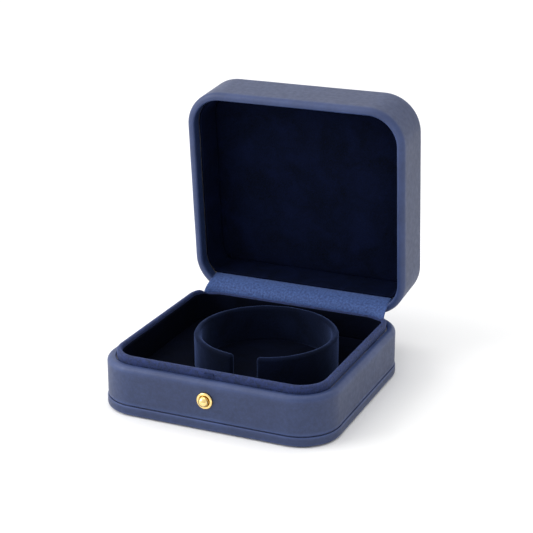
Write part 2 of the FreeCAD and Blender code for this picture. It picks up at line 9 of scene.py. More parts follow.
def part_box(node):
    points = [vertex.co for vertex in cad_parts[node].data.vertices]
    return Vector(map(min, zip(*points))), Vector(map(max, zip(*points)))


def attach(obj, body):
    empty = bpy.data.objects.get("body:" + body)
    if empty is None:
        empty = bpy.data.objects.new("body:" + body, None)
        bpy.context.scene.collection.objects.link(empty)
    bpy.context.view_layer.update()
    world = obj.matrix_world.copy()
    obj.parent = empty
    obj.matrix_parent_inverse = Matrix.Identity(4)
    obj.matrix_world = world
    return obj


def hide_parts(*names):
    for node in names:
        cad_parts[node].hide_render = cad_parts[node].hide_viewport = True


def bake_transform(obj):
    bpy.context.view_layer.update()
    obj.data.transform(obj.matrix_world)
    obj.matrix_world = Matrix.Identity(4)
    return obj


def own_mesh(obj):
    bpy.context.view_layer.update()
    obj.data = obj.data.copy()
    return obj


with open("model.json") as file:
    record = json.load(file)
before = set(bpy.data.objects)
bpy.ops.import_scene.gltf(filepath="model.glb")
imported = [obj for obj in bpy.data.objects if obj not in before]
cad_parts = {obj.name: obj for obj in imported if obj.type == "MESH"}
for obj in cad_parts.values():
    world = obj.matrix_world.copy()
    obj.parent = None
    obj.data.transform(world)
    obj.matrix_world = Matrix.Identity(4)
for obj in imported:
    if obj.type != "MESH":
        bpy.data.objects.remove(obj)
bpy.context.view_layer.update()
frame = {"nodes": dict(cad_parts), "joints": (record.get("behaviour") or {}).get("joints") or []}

# Looks of a jewellery gift box: a tray and a deep lid wrapped in smooth leatherette, a cloth-covered
# neck round the tray, a woven hinge strip, a velvet collar on a velvet floor, a velvet-lined lid and a
# gold push button.  Shapes are worked out in millimetres and become metres when a mesh is made.

MM = 0.001


def mm_box(node):
    """Lowest and highest corner of a CAD node, in millimetres."""
    low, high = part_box(node)
    return low / MM, high / MM


# ---- sizes, in millimetres ----------------------------------------------------------------------
WALL_LOW, WALL_HIGH = mm_box("tray_wall_cover")
HALF_W = WALL_HIGH.x
HALF_D = WALL_HIGH.y
SEAM_Z = WALL_LOW.z
WALL_TOP = WALL_HIGH.z
CORNER_R = 16.5
COVER_T = 0.8
EDGE_R = 2.2
FOLD_R = 0.85
GROOVE_GAP = 0.32         # covering to neck, down in the groove
FOLD_DOWN = 3.0           # how far the covering is folded down into the groove
SEAM_R = 0.4
PLINTH_OUT = mm_box("plinth_cover")[1].x - HALF_W
FOOT_T = mm_box("plinth_cover")[0].z
PLINTH_WRAP = 8.0
FOOT_INSET = 2.0

NECK_IN = HALF_W - mm_box("neck_cloth")[1].x
NECK_TOP = mm_box("neck_cloth")[1].z
NECK_T = 2.1
NECK_CLOTH_T = 0.3
NECK_EDGE_R = 0.9
NECK_BACK_TOP = 21.9
NECK_BACK_Y = 36.5
LINING_T = 0.8
LINING_IN = NECK_IN + NECK_T
LINING_TOP = mm_box("tray_side_lining")[1].z
FLOOR_BOARD_TOP = mm_box("floor_board")[1].z
FLOOR_TOP = mm_box("floor_velvet_pad")[1].z
FOAM_LOW = mm_box("floor_foam")[0].z
FOAM_TOP = mm_box("floor_foam")[1].z
WELL_PAD_TOP = mm_box("collar_floor_pad")[1].z

COLLAR_BOX = mm_box("collar_velvet")
COLLAR_TOP = COLLAR_BOX[1].z
COLLAR_X = (COLLAR_BOX[0].x + COLLAR_BOX[1].x) / 2
COLLAR_OUT_R = (COLLAR_BOX[1].x - COLLAR_BOX[0].x) / 2
COLLAR_Y = COLLAR_BOX[1].y - COLLAR_OUT_R
COLLAR_T = 2.8
COLLAR_CLOTH_T = 0.6
COLLAR_R = COLLAR_OUT_R - COLLAR_T / 2
COLLAR_GAP = 10.0
COLLAR_GAP_TURN = -84.0

LID_INSET = 0.5
LID_TOP_R = 2.5
LID_RIM = WALL_TOP + 0.2
LID_TOP = LID_RIM + 24.0
LID_IN = 3.7
TURN_IN_T = 0.10
LINER_EDGE = LID_RIM + 5.5
LINER_T = 1.2
LINER_CLOTH_T = 0.5
LINER_BACK = 39.0
PANEL_UNDER = 41.4
PANEL_PAD_T = 1.8
PAD_PRESSURE = 4.0

LID_HINGE = next(joint for joint in frame["joints"] if joint["name"] == "lid_hinge")
HINGE = Vector(LID_HINGE["pos_m"]) / MM
OPEN_ANGLE = math.radians(LID_HINGE["range_deg"][1])
BARREL_R = 1.0
BARREL_CLEAR = 0.2
BARREL_END_CLEAR = 0.15
LEAF_T = 0.5
LEAF_SINK = 0.1
STRIP_T = 0.3
STRIP_W = 85.0
STRIP_GLUED = 8.5

BUTTON_LOW, BUTTON_HIGH = mm_box("push_button")
BEZEL_LOW, BEZEL_HIGH = mm_box("clasp_bezel")
BUTTON_Z = (BEZEL_LOW.z + BEZEL_HIGH.z) / 2
BEZEL_R = BEZEL_HIGH.x
BEZEL_TUBE_R = 2.5
BUTTON_R = 2.15
BUTTON_DOME = 1.8
NOSE_W = 4.0
NOSE_T = 0.45
NOSE_CLEAR = 0.2
SPRING_WIRE_R = 0.13
SPRING_TURNS = 4

LAY_CLEAR = 0.1           # between a soft piece and what it lies against
NO_BACK_LIMIT = 1000.0
BAND_STEP = 1.25
OUTLINE_STEP = 1.5
FRONT = -HALF_D
CLOSED_TO_OPEN = (
    Matrix.Translation(HINGE) @ Matrix.Rotation(-OPEN_ANGLE, 4, "X") @ Matrix.Translation(-HINGE))


# ---- small tools --------------------------------------------------------------------------------
def colour(code):
    """Linear colour of an sRGB hex code."""
    parts = [int(code[i:i + 2], 16) / 255 for i in (1, 3, 5)]
    return tuple([c / 12.92 if c <= 0.04045 else ((c + 0.055) / 1.055) ** 2.4 for c in parts] + [1])


def socket_of(value):
    """A node stands for its first output; anything else for itself."""
    return value.outputs[0] if isinstance(value, bpy.types.Node) else value


def add(tree, kind, links=None, **settings):
    """Adds one node with its settings; its inputs, by name or place, come from nodes, sockets or values."""
    made = tree.nodes.new(kind)
    for key, value in settings.items():
        setattr(made, key, value)
    for key, value in (links or {}).items():
        value = socket_of(value)
        if isinstance(value, bpy.types.NodeSocket):
            tree.links.new(value, made.inputs[key])
        else:
            made.inputs[key].default_value = value
    return made


def arc(out, z, radius, start, stop, steps):
    """Points of an arc in a section, whose axes are outwards and up; angles in degrees."""
    turns = [math.radians(start + (stop - start) * i / steps) for i in range(steps + 1)]
    return [(out + radius * math.cos(t), z + radius * math.sin(t)) for t in turns]


def ease(t):
    """0 to 1 as t goes from 0 to 1, with a soft start and a soft end."""
    return t * t * (3 - 2 * t)


def run(first, last, spacing):
    """Points between two section points, neither included, at about that spacing."""
    steps = max(1, round(math.dist(first, last) / spacing))
    return [tuple(a + (b - a) * i / steps for a, b in zip(first, last)) for i in range(1, steps)]


def piece_from(name, points, faces, material):
    """Object of a mesh given in millimetres, smooth shaded, with its faces turned outwards."""
    mesh = bpy.data.meshes.new(name)
    mesh.from_pydata([Vector(p) * MM for p in points], [], faces)
    turn_outwards(mesh)
    mesh.materials.append(material)
    piece = bpy.data.objects.new(name, mesh)
    bpy.context.scene.collection.objects.link(piece)
    return piece


def turn_outwards(mesh):
    """Merges doubled points, turns the faces outwards and shades them smooth."""
    work = bmesh.new()
    work.from_mesh(mesh)
    bmesh.ops.remove_doubles(work, verts=work.verts, dist=0.002 * MM)
    bmesh.ops.recalc_face_normals(work, faces=work.faces)
    for face in work.faces:
        face.smooth = True
    work.to_mesh(mesh)
    work.free()


def soften(piece, depth, size, seed):
    """Moves a mesh's points a little along their normals, as a covering pulled over by hand lies."""
    mesh = piece.data
    normals = [v.normal.copy() for v in mesh.vertices]
    for vertex, normal in zip(mesh.vertices, normals):
        place = vertex.co / (size * MM) + Vector((seed, 0, 0))
        vertex.co += normal * (noise.noise(place) * depth * MM)
    mesh.update()


def open_lid(piece):
    """Turns a piece drawn on the closed lid back about the hinge."""
    to_metres = Matrix.Scale(MM, 4)
    piece.data.transform(to_metres @ CLOSED_TO_OPEN @ to_metres.inverted())
    piece.data.update()


def cut(piece, cutter):
    """Takes a cutter out of a piece, and removes the cutter."""
    modifier = piece.modifiers.new("cut", "BOOLEAN")
    modifier.operation = "DIFFERENCE"
    modifier.solver = "EXACT"
    modifier.object = cutter
    settle(piece)
    bpy.data.objects.remove(cutter)


def settle(piece):
    """Makes what a piece's modifiers give its own plain mesh."""
    bpy.context.view_layer.update()
    done = piece.evaluated_get(bpy.context.evaluated_depsgraph_get())
    mesh = bpy.data.meshes.new_from_object(done)
    piece.modifiers.clear()
    piece.data = mesh


def hand_over(piece, body, node):
    """Puts a finished piece on its body, in the place of its CAD node, and hides that node."""
    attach(piece, body)
    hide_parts(node)


def mark_edges(piece, spread=6.0):
    """Writes edge_wear_and_highlight on each point: 0 where the surface is flat or hollow, 1 on a tight
    rounding; it masks the leatherette's edges painted lighter, partly by rubbing and partly as a painted
    highlight.
    """
    work = bmesh.new()
    work.from_mesh(piece.data)
    bends = []
    for vertex in work.verts:
        falls = []
        for edge in vertex.link_edges:
            along = edge.other_vert(vertex).co - vertex.co
            falls.append(-along.dot(vertex.normal) / max(edge.calc_length() ** 2, 1e-9))
        bends.append(max(falls) * MM if falls else 0)
    work.free()
    wear_and_highlight_mark = piece.data.attributes.new("edge_wear_and_highlight", "FLOAT", "POINT")
    wear_and_highlight_mark.data.foreach_set("value", [min(1.0, max(0.0, bend * spread / 2)) for bend in bends])


# ---- finishes -----------------------------------------------------------------------------------
def finish(name, **shader_values):
    """A material: its tree, its principled shader, and Object coordinates in millimetres."""
    material = bpy.data.materials.new(name)
    material.use_nodes = True
    tree = material.node_tree
    shader = tree.nodes["Principled BSDF"]
    for key, value in shader_values.items():
        shader.inputs[key.replace("_", " ")].default_value = value
    place = add(tree, "ShaderNodeTexCoord").outputs["Object"]
    in_mm = add(tree, "ShaderNodeVectorMath", {0: place, 3: 1 / MM}, operation="SCALE")
    return material, tree, shader, in_mm


def drive(tree, shader, **sockets):
    """Links nodes or sockets to a shader's inputs, whose names are written with underscores."""
    for key, value in sockets.items():
        tree.links.new(socket_of(value), shader.inputs[key.replace("_", " ")])


def leatherette():
    """Polyurethane leatherette, embossed with a fine pebble grain and matt-lacquered: a soft satin sheen
    that goes pale at a glance, faint mottling, painted shade in the grain's creases, and edges painted
    lighter, partly by rubbing and partly as a painted highlight."""
    material, tree, shader, place = finish("leatherette_blue_satin", IOR=1.5, Roughness=0.5)
    patches = add(tree, "ShaderNodeTexNoise", {"Vector": place, "Scale": 1 / 14, "Detail": 3.0})
    mottle = add(tree, "ShaderNodeTexNoise", {"Vector": place, "Scale": 1 / 1.8, "Detail": 2.0})
    # pebbles are 0.35 mm in the hide-like emboss, and drawn twice as wide so that they show
    pebbles = add(tree, "ShaderNodeTexVoronoi", {"Vector": place, "Scale": 1 / 0.75}, feature="SMOOTH_F1")
    creases = add(tree, "ShaderNodeMapRange", {0: pebbles, 1: 0.1, 2: 0.65})
    worn_and_highlit = add(tree, "ShaderNodeAttribute", attribute_name="edge_wear_and_highlight")
    tone = add(tree, "ShaderNodeMapRange", {0: patches, 1: 0.3, 2: 0.7})
    body = add(tree, "ShaderNodeMix", {0: tone, 6: colour("#24335B"), 7: colour("#2A3B64")},
               data_type="RGBA")
    fine = add(tree, "ShaderNodeMapRange", {0: mottle, 1: 0.3, 2: 0.7, 3: 0.0, 4: 0.7})
    mottled = add(tree, "ShaderNodeMix", {0: fine, 6: body.outputs[2], 7: colour("#1F2D50")},
                  data_type="RGBA")
    # painted shade: the pebble grain's creases are coloured darker
    crease_shade = add(tree, "ShaderNodeMath", {0: creases, 1: 0.32}, operation="MULTIPLY")
    crease_shaded = add(tree, "ShaderNodeMix", {0: crease_shade, 6: mottled.outputs[2], 7: colour("#15213E")},
                  data_type="RGBA")
    # edges painted lighter: partly by rubbing, partly a painted highlight on the roundings
    rubbed_and_highlit = add(tree, "ShaderNodeMath", {0: worn_and_highlit.outputs["Fac"], 1: patches}, operation="MULTIPLY")
    edged = add(tree, "ShaderNodeMix", {0: rubbed_and_highlit, 6: crease_shaded.outputs[2], 7: colour("#3C4E7F")},
                data_type="RGBA")
    gloss = add(tree, "ShaderNodeMapRange", {0: mottle, 1: 0.3, 2: 0.7, 3: 0.46, 4: 0.54})
    grain = add(tree, "ShaderNodeBump", {"Strength": 0.35, "Distance": 0.05 * MM,
                                        "Height": pebbles}, invert=True)
    swell = add(tree, "ShaderNodeBump", {"Strength": 0.12, "Distance": 0.05 * MM,
                                        "Height": mottle, "Normal": grain})
    drive(tree, shader, Base_Color=edged.outputs[2], Roughness=gloss, Normal=swell)
    return material


def velvet(name, deep, lit, sheen_tint, sheen):
    """Flocked velvet, short pile brushed by hand: nearly black face on, a blue glow where the pile
    is seen from the side, and brushed patches that catch the light differently."""
    material, tree, shader, place = finish(
        name, IOR=1.45, Roughness=0.9, Sheen_Weight=sheen, Sheen_Roughness=0.35, Sheen_Tint=sheen_tint)
    shader.inputs["Specular IOR Level"].default_value = 0.06
    brushed = add(tree, "ShaderNodeTexNoise", {"Vector": place, "Scale": 1 / 11, "Detail": 4.0,
                                              "Distortion": 0.8})
    # pile tufts are about 0.15 mm, and drawn three times as wide so that they show
    nap_mm = 0.45
    nap = add(tree, "ShaderNodeTexNoise", {"Vector": place, "Scale": 1 / nap_mm, "Detail": 3.0})
    patch = add(tree, "ShaderNodeMapRange", {0: brushed, 1: 0.35, 2: 0.68})
    speck = add(tree, "ShaderNodeMapRange", {0: nap, 1: 0.3, 2: 0.72, 3: 0.0, 4: 0.6})
    both = add(tree, "ShaderNodeMath", {0: patch, 1: 0.45, 2: speck},
               operation="MULTIPLY_ADD", use_clamp=True)
    tone = add(tree, "ShaderNodeMix", {0: both, 6: colour(deep), 7: colour(lit)}, data_type="RGBA")
    fuzz = add(tree, "ShaderNodeBump", {"Strength": 0.7, "Distance": 0.12 * MM, "Height": nap})
    lay = add(tree, "ShaderNodeBump", {"Strength": 0.4, "Distance": 0.6 * MM, "Height": brushed,
                                      "Normal": fuzz})
    drive(tree, shader, Base_Color=tone.outputs[2], Normal=lay)
    return material


def neck_suede():
    """Blue suede cloth wrapped over the neck: mid blue with a short lay, painted lighter on small raised
    streaks and darker in the hollows between them, about a millimetre across: painted highlight and painted
    shade."""
    material, tree, shader, place = finish(
        "neck_suede_cloth", IOR=1.45, Roughness=0.8, Sheen_Weight=0.35, Sheen_Roughness=0.4,
        Sheen_Tint=colour("#7A90CF"))
    streaks = add(tree, "ShaderNodeTexNoise", {"Vector": place, "Scale": 1 / 1.3, "Detail": 4.0,
                                              "Distortion": 1.2})
    lay = add(tree, "ShaderNodeTexNoise", {"Vector": place, "Scale": 1 / 0.35, "Detail": 2.0})
    # painted highlight and painted shade: the streaks that raise the surface also colour it lighter where
    # raised and darker in the hollows
    tone = add(tree, "ShaderNodeMapRange", {0: streaks, 1: 0.32, 2: 0.68})
    body = add(tree, "ShaderNodeMix", {0: tone, 6: colour("#15213F"), 7: colour("#243468")},
               data_type="RGBA")
    streak_relief = add(tree, "ShaderNodeBump", {"Strength": 0.8, "Distance": 0.3 * MM, "Height": streaks})
    short = add(tree, "ShaderNodeBump", {"Strength": 0.5, "Distance": 0.08 * MM, "Height": lay,
                                        "Normal": streak_relief})
    drive(tree, shader, Base_Color=body.outputs[2], Normal=short)
    return material


def woven_strip():
    """Plain-woven viscose hinge cloth: mid blue threads over and under, some paler than others, so the
    strip looks flecked, with a dull surface."""
    material, tree, shader, place = finish(
        "woven_hinge_cloth", IOR=1.46, Roughness=0.75, Sheen_Weight=0.3, Sheen_Roughness=0.5,
        Sheen_Tint=colour("#A9B9E6"))
    # threads are 0.35 mm apart, and drawn 0.55 mm apart so that they show; the map is in millimetres
    pitch = 0.55
    laid = add(tree, "ShaderNodeUVMap", uv_map="cloth_mm")
    threads = add(tree, "ShaderNodeVectorMath", {0: laid, 3: 1 / pitch}, operation="SCALE")
    split = add(tree, "ShaderNodeSeparateXYZ", {0: threads})
    heights = []
    for along, across, shift in (("X", "Y", 0.0), ("Y", "X", math.pi)):
        number = add(tree, "ShaderNodeMath", {0: split.outputs[along]}, operation="FLOOR")
        phase = add(tree, "ShaderNodeMath", {0: number, 1: split.outputs[across]}, operation="ADD")
        turn = add(tree, "ShaderNodeMath", {0: phase, 1: math.pi, 2: shift}, operation="MULTIPLY_ADD")
        over = add(tree, "ShaderNodeMath", {0: turn}, operation="SINE")
        inside = add(tree, "ShaderNodeMath", {0: split.outputs[along], 1: math.pi}, operation="MULTIPLY")
        wave = add(tree, "ShaderNodeMath", {0: inside}, operation="SINE")
        crown = add(tree, "ShaderNodeMath", {0: wave}, operation="ABSOLUTE")
        lifted = add(tree, "ShaderNodeMath", {0: over, 1: 0.5, 2: 0.5}, operation="MULTIPLY_ADD")
        height = add(tree, "ShaderNodeMath", {0: crown, 1: lifted}, operation="MULTIPLY")
        heights.append(height)
    weave = add(tree, "ShaderNodeMath", {0: heights[0], 1: heights[1]}, operation="MAXIMUM")
    uneven = add(tree, "ShaderNodeTexNoise", {"Vector": threads, "Scale": 0.55, "Detail": 3.0})
    fleck = add(tree, "ShaderNodeMapRange", {0: uneven, 1: 0.3, 2: 0.72})
    thread = add(tree, "ShaderNodeMix", {0: fleck, 6: colour("#2B4175"), 7: colour("#4E6FB0")},
                 data_type="RGBA")
    lit = add(tree, "ShaderNodeMapRange", {0: weave, 1: 0.1, 2: 0.7})
    body = add(tree, "ShaderNodeMix", {0: lit, 6: colour("#1D2F60"), 7: thread.outputs[2]},
               data_type="RGBA")
    raised = add(tree, "ShaderNodeBump", {"Strength": 0.6, "Distance": 0.12 * MM, "Height": weave})
    drive(tree, shader, Base_Color=body.outputs[2], Normal=raised)
    return material


def polished_gold():
    """Brass, polished and gold-plated: mirror bright, with hairlines from wiping and a few duller spots."""
    material, tree, shader, place = finish(
        "polished_gold_plate", Base_Color=colour("#F2C565"), Metallic=1.0, Roughness=0.12)
    wiped = add(tree, "ShaderNodeVectorMath", {0: place, 1: (6, 1.2, 6)}, operation="MULTIPLY")
    hairlines = add(tree, "ShaderNodeTexNoise", {"Vector": wiped, "Scale": 1.0, "Detail": 5.0})
    spots = add(tree, "ShaderNodeTexNoise", {"Vector": place, "Scale": 1.4, "Detail": 2.0})
    dull = add(tree, "ShaderNodeMapRange", {0: spots, 1: 0.35, 2: 0.7, 3: 0.09, 4: 0.2})
    warm = add(tree, "ShaderNodeMapRange", {0: spots, 1: 0.3, 2: 0.75})
    body = add(tree, "ShaderNodeMix", {0: warm, 6: colour("#FFE7A6"), 7: colour("#F6CE7C")},
               data_type="RGBA")
    lines = add(tree, "ShaderNodeBump", {"Strength": 0.08, "Distance": 0.02 * MM, "Height": hairlines})
    drive(tree, shader, Base_Color=body.outputs[2], Roughness=dull, Normal=lines)
    return material


def worked_steel(name, light, dark, roughness, stretch):
    """Steel strip or wire as it comes off the rolls or the die, oiled: fine lines one way, darker
    where the oil has stayed."""
    material, tree, shader, place = finish(name, Metallic=1.0, Roughness=roughness)
    drawn = add(tree, "ShaderNodeVectorMath", {0: place, 1: stretch}, operation="MULTIPLY")
    lines = add(tree, "ShaderNodeTexNoise", {"Vector": drawn, "Scale": 1.0, "Detail": 4.0})
    oil = add(tree, "ShaderNodeTexNoise", {"Vector": place, "Scale": 0.35, "Detail": 2.0})
    tone = add(tree, "ShaderNodeMix", {0: oil, 6: colour(dark), 7: colour(light)}, data_type="RGBA")
    gloss = add(tree, "ShaderNodeMapRange", {0: lines, 3: roughness - 0.1, 4: roughness + 0.14})
    scored = add(tree, "ShaderNodeBump", {"Strength": 0.25, "Distance": 0.02 * MM, "Height": lines})
    drive(tree, shader, Base_Color=tone.outputs[2], Roughness=gloss, Normal=scored)
    return material


def grey_board():
    """Recycled grey board, calendered: grey-brown with short pale and dark fibres and a dry, flat face."""
    material, tree, shader, place = finish("recycled_grey_board", IOR=1.5, Roughness=0.92)
    fibres = add(tree, "ShaderNodeVectorMath", {0: place, 1: (0.5, 2.5, 2.5)}, operation="MULTIPLY")
    laid = add(tree, "ShaderNodeTexNoise", {"Vector": fibres, "Scale": 1.0, "Detail": 5.0})
    clouds = add(tree, "ShaderNodeTexNoise", {"Vector": place, "Scale": 0.2, "Detail": 3.0})
    mixed = add(tree, "ShaderNodeMath", {0: laid, 1: clouds}, operation="MULTIPLY")
    spread = add(tree, "ShaderNodeMapRange", {0: mixed, 1: 0.15, 2: 0.38})
    tone = add(tree, "ShaderNodeMix", {0: spread, 6: colour("#6F6B64"), 7: colour("#9C978D")},
               data_type="RGBA")
    rough = add(tree, "ShaderNodeBump", {"Strength": 0.4, "Distance": 0.06 * MM, "Height": laid})
    drive(tree, shader, Base_Color=tone.outputs[2], Normal=rough)
    return material


def open_cell_foam():
    """Open-cell polyurethane foam, sawn: charcoal, with round cells about half a millimetre across."""
    material, tree, shader, place = finish("open_cell_foam", IOR=1.45, Roughness=0.95)
    cells = add(tree, "ShaderNodeTexVoronoi", {"Vector": place, "Scale": 1 / 0.6})
    # painted shade: darker down in the cells' pits, lighter on the cell walls
    walls = add(tree, "ShaderNodeMapRange", {0: cells, 1: 0.15, 2: 0.6})
    tone = add(tree, "ShaderNodeMix", {0: walls, 6: colour("#17181B"), 7: colour("#3B3D42")},
               data_type="RGBA")
    pits = add(tree, "ShaderNodeBump", {"Strength": 0.9, "Distance": 0.2 * MM, "Height": cells})
    drive(tree, shader, Base_Color=tone.outputs[2], Normal=pits)
    return material


def felt_sheet():
    """Pressed polyester felt: dark navy, hairy and matt, with matted lighter fibres."""
    material, tree, shader, place = finish(
        "pressed_felt", IOR=1.45, Roughness=0.95, Sheen_Weight=0.4, Sheen_Roughness=0.6)
    warp = add(tree, "ShaderNodeTexNoise", {"Vector": place, "Scale": 0.6, "Detail": 2.0})
    pulled = add(tree, "ShaderNodeVectorMath", {0: warp.outputs["Color"], 1: (4, 4, 4), 2: place},
                 operation="MULTIPLY_ADD")
    hairs = add(tree, "ShaderNodeTexNoise", {"Vector": pulled, "Scale": 1.8, "Detail": 6.0})
    spread = add(tree, "ShaderNodeMapRange", {0: hairs, 1: 0.35, 2: 0.65})
    tone = add(tree, "ShaderNodeMix", {0: spread, 6: colour("#10141F"), 7: colour("#2B3248")},
               data_type="RGBA")
    matted = add(tree, "ShaderNodeBump", {"Strength": 0.8, "Distance": 0.15 * MM, "Height": hairs})
    drive(tree, shader, Base_Color=tone.outputs[2], Normal=matted)
    return material


LEATHERETTE = leatherette()
LID_VELVET = velvet("lid_velvet_navy", "#03060F", "#0A122E", colour("#2A4080"), 0.2)
FLOOR_VELVET = velvet("floor_velvet_navy", "#010309", "#050A1C", colour("#1E3068"), 0.12)
COLLAR_VELVET = velvet("collar_velvet_navy", "#03060F", "#0B132A", colour("#6C82C0"), 0.8)
NECK_CLOTH = neck_suede()
HINGE_CLOTH = woven_strip()
GOLD = polished_gold()
CATCH_STEEL = worked_steel("blued_catch_steel", "#36426C", "#2A3558", 0.6, (0.6, 6, 6))
HINGE_STEEL = worked_steel("rolled_hinge_steel", "#8F9298", "#5C6066", 0.36, (0.5, 7, 7))
SPRING_STEEL = worked_steel("drawn_spring_wire", "#A5A8AE", "#6C7078", 0.3, (5, 5, 0.8))
BOARD = grey_board()
FOAM = open_cell_foam()
FELT = felt_sheet()


# ---- bands that follow the box's outline --------------------------------------------------------
def band_tree():
    """Geometry Nodes: sweeps the object's own closed section round the box's rounded outline."""
    tree = bpy.data.node_groups.new("band_round_the_box", "GeometryNodeTree")
    wanted = [("Section", "Geometry"), ("Width", "Float"), ("Depth", "Float"), ("Corner radius", "Float"),
              ("Back limit", "Float"), ("Step", "Float"), ("Ripple depth", "Float"),
              ("Ripple size", "Float"), ("Seed", "Float"), ("Covering", "Material")]
    for name, kind in wanted:
        tree.interface.new_socket(name, in_out="INPUT", socket_type="NodeSocket" + kind)
    tree.interface.new_socket("Band", in_out="OUTPUT", socket_type="NodeSocketGeometry")
    asked = add(tree, "NodeGroupInput").outputs
    sides = add(tree, "GeometryNodeCurvePrimitiveQuadrilateral",
                {"Width": asked["Width"], "Height": asked["Depth"]})
    rounded = add(tree, "GeometryNodeFilletCurve",
                  {"Curve": sides, "Count": 60, "Radius": asked["Corner radius"]}, mode="POLY")
    place = add(tree, "GeometryNodeInputPosition")
    parts = add(tree, "ShaderNodeSeparateXYZ", {0: place})
    kept = add(tree, "ShaderNodeMath", {0: parts.outputs["Y"], 1: asked["Back limit"]}, operation="MINIMUM")
    moved = add(tree, "ShaderNodeCombineXYZ", {"X": parts.outputs["X"], "Y": kept})
    straight = add(tree, "GeometryNodeSetPosition", {"Geometry": rounded, "Position": moved})
    even = add(tree, "GeometryNodeResampleCurve", {"Curve": straight, "Length": asked["Step"]},
               mode="LENGTH")
    level = add(tree, "GeometryNodeSetCurveNormal", {"Curve": even}, mode="Z_UP")
    section = add(tree, "GeometryNodeMeshToCurve", {"Mesh": asked["Section"]})
    swept = add(tree, "GeometryNodeCurveToMesh", {"Curve": level, "Profile Curve": section})
    pace = add(tree, "ShaderNodeMath", {0: 1.0, 1: asked["Ripple size"]}, operation="DIVIDE")
    ripple = add(tree, "ShaderNodeTexNoise", {"Vector": place, "W": asked["Seed"], "Scale": pace,
                                             "Detail": 1.0}, noise_dimensions="4D")
    about = add(tree, "ShaderNodeMath", {0: ripple, 1: 0.5}, operation="SUBTRACT")
    depth = add(tree, "ShaderNodeMath", {0: about, 1: asked["Ripple depth"]}, operation="MULTIPLY")
    normal = add(tree, "GeometryNodeInputNormal")
    push = add(tree, "ShaderNodeVectorMath", {0: normal, 3: depth}, operation="SCALE")
    rippled = add(tree, "GeometryNodeSetPosition", {"Geometry": swept, "Offset": push})
    real = add(tree, "GeometryNodeRealizeInstances", {"Geometry": rippled})
    covered = add(tree, "GeometryNodeSetMaterial", {"Geometry": real, "Material": asked["Covering"]})
    add(tree, "NodeGroupOutput", {0: covered})
    return tree


BAND = band_tree()


def band(name, section, covering, ripple, size, seed, inset=0.0, back_limit=NO_BACK_LIMIT):
    """A covering of the given closed section all round the box; the section's points are (out, z) in
    millimetres, with out measured from the tray's face."""
    mesh = bpy.data.meshes.new(name)
    points = [((out + inset) * MM, -z * MM, 0) for out, z in section]
    mesh.from_pydata(points, [(i, (i + 1) % len(points)) for i in range(len(points))], [])
    piece = bpy.data.objects.new(name, mesh)
    bpy.context.scene.collection.objects.link(piece)
    values = {
        "Width": 2 * (HALF_W - inset) * MM, "Depth": 2 * (HALF_D - inset) * MM,
        "Corner radius": (CORNER_R - inset) * MM, "Back limit": back_limit * MM, "Step": BAND_STEP * MM,
        "Ripple depth": 2 * ripple * MM, "Ripple size": size * MM, "Seed": seed, "Covering": covering,
    }
    sweep = piece.modifiers.new("sweep", "NODES")
    sweep.node_group = BAND
    for item in BAND.interface.items_tree:
        if item.name in values:
            sweep[item.identifier] = values[item.name]
    settle(piece)
    turn_outwards(piece.data)
    return piece


def lower_back(piece, top):
    """Brings a band's top down across the back, where the hinge strip goes over it."""
    foot, slope_run = 20.0, 3.4
    share = (top - foot) / (max(v.co.z for v in piece.data.vertices) / MM - foot)
    for vertex in piece.data.vertices:
        y, z = vertex.co.y / MM, vertex.co.z / MM
        if z > foot and y > NECK_BACK_Y:
            lowered = ease(min(1.0, (y - NECK_BACK_Y) / slope_run))
            vertex.co.z = (foot + (z - foot) * (1 + (share - 1) * lowered)) * MM
    piece.data.update()


def cutter_from(work, place):
    """A cutter of a worked shape, moved to its place; both are in metres."""
    mesh = bpy.data.meshes.new("cutter")
    work.to_mesh(mesh)
    work.free()
    mesh.transform(place)
    cutter = bpy.data.objects.new("cutter", mesh)
    bpy.context.scene.collection.objects.link(cutter)
    return cutter


def rod_cutter(radius, start, direction, length):
    """A plain round cutter, from start along direction."""
    work = bmesh.new()
    bmesh.ops.create_cone(work, cap_ends=True, segments=48, radius1=radius * MM, radius2=radius * MM,
                          depth=length * MM)
    way = Vector(direction)
    middle = Matrix.Translation((Vector(start) + way * (length / 2)) * MM)
    return cutter_from(work, middle @ way.to_track_quat("Z", "Y").to_matrix().to_4x4())


def box_cutter(low, high):
    """A square cutter between two corners."""
    work = bmesh.new()
    bmesh.ops.create_cube(work, size=1.0)
    size = (Vector(high) - Vector(low)) * MM
    middle = Matrix.Translation((Vector(high) + Vector(low)) / 2 * MM)
    return cutter_from(work, middle @ Matrix.Diagonal((*size, 1)))


def cut_for_barrel(piece, seat_low, seat_high):
    """Groove round the hinge barrel, and the seat of a leaf's tread in the edge."""
    half = mm_box("hinge_pin")[1].x + BARREL_END_CLEAR
    cut(piece, rod_cutter(BARREL_R + BARREL_CLEAR, (-half, HINGE.y, HINGE.z), (1, 0, 0), 2 * half))
    leaf = mm_box("hinge_leaf_lower")
    cut(piece, box_cutter((leaf[0].x, HALF_D - NECK_IN - BARREL_CLEAR, seat_low),
                          (leaf[1].x, HINGE.y, seat_high)))


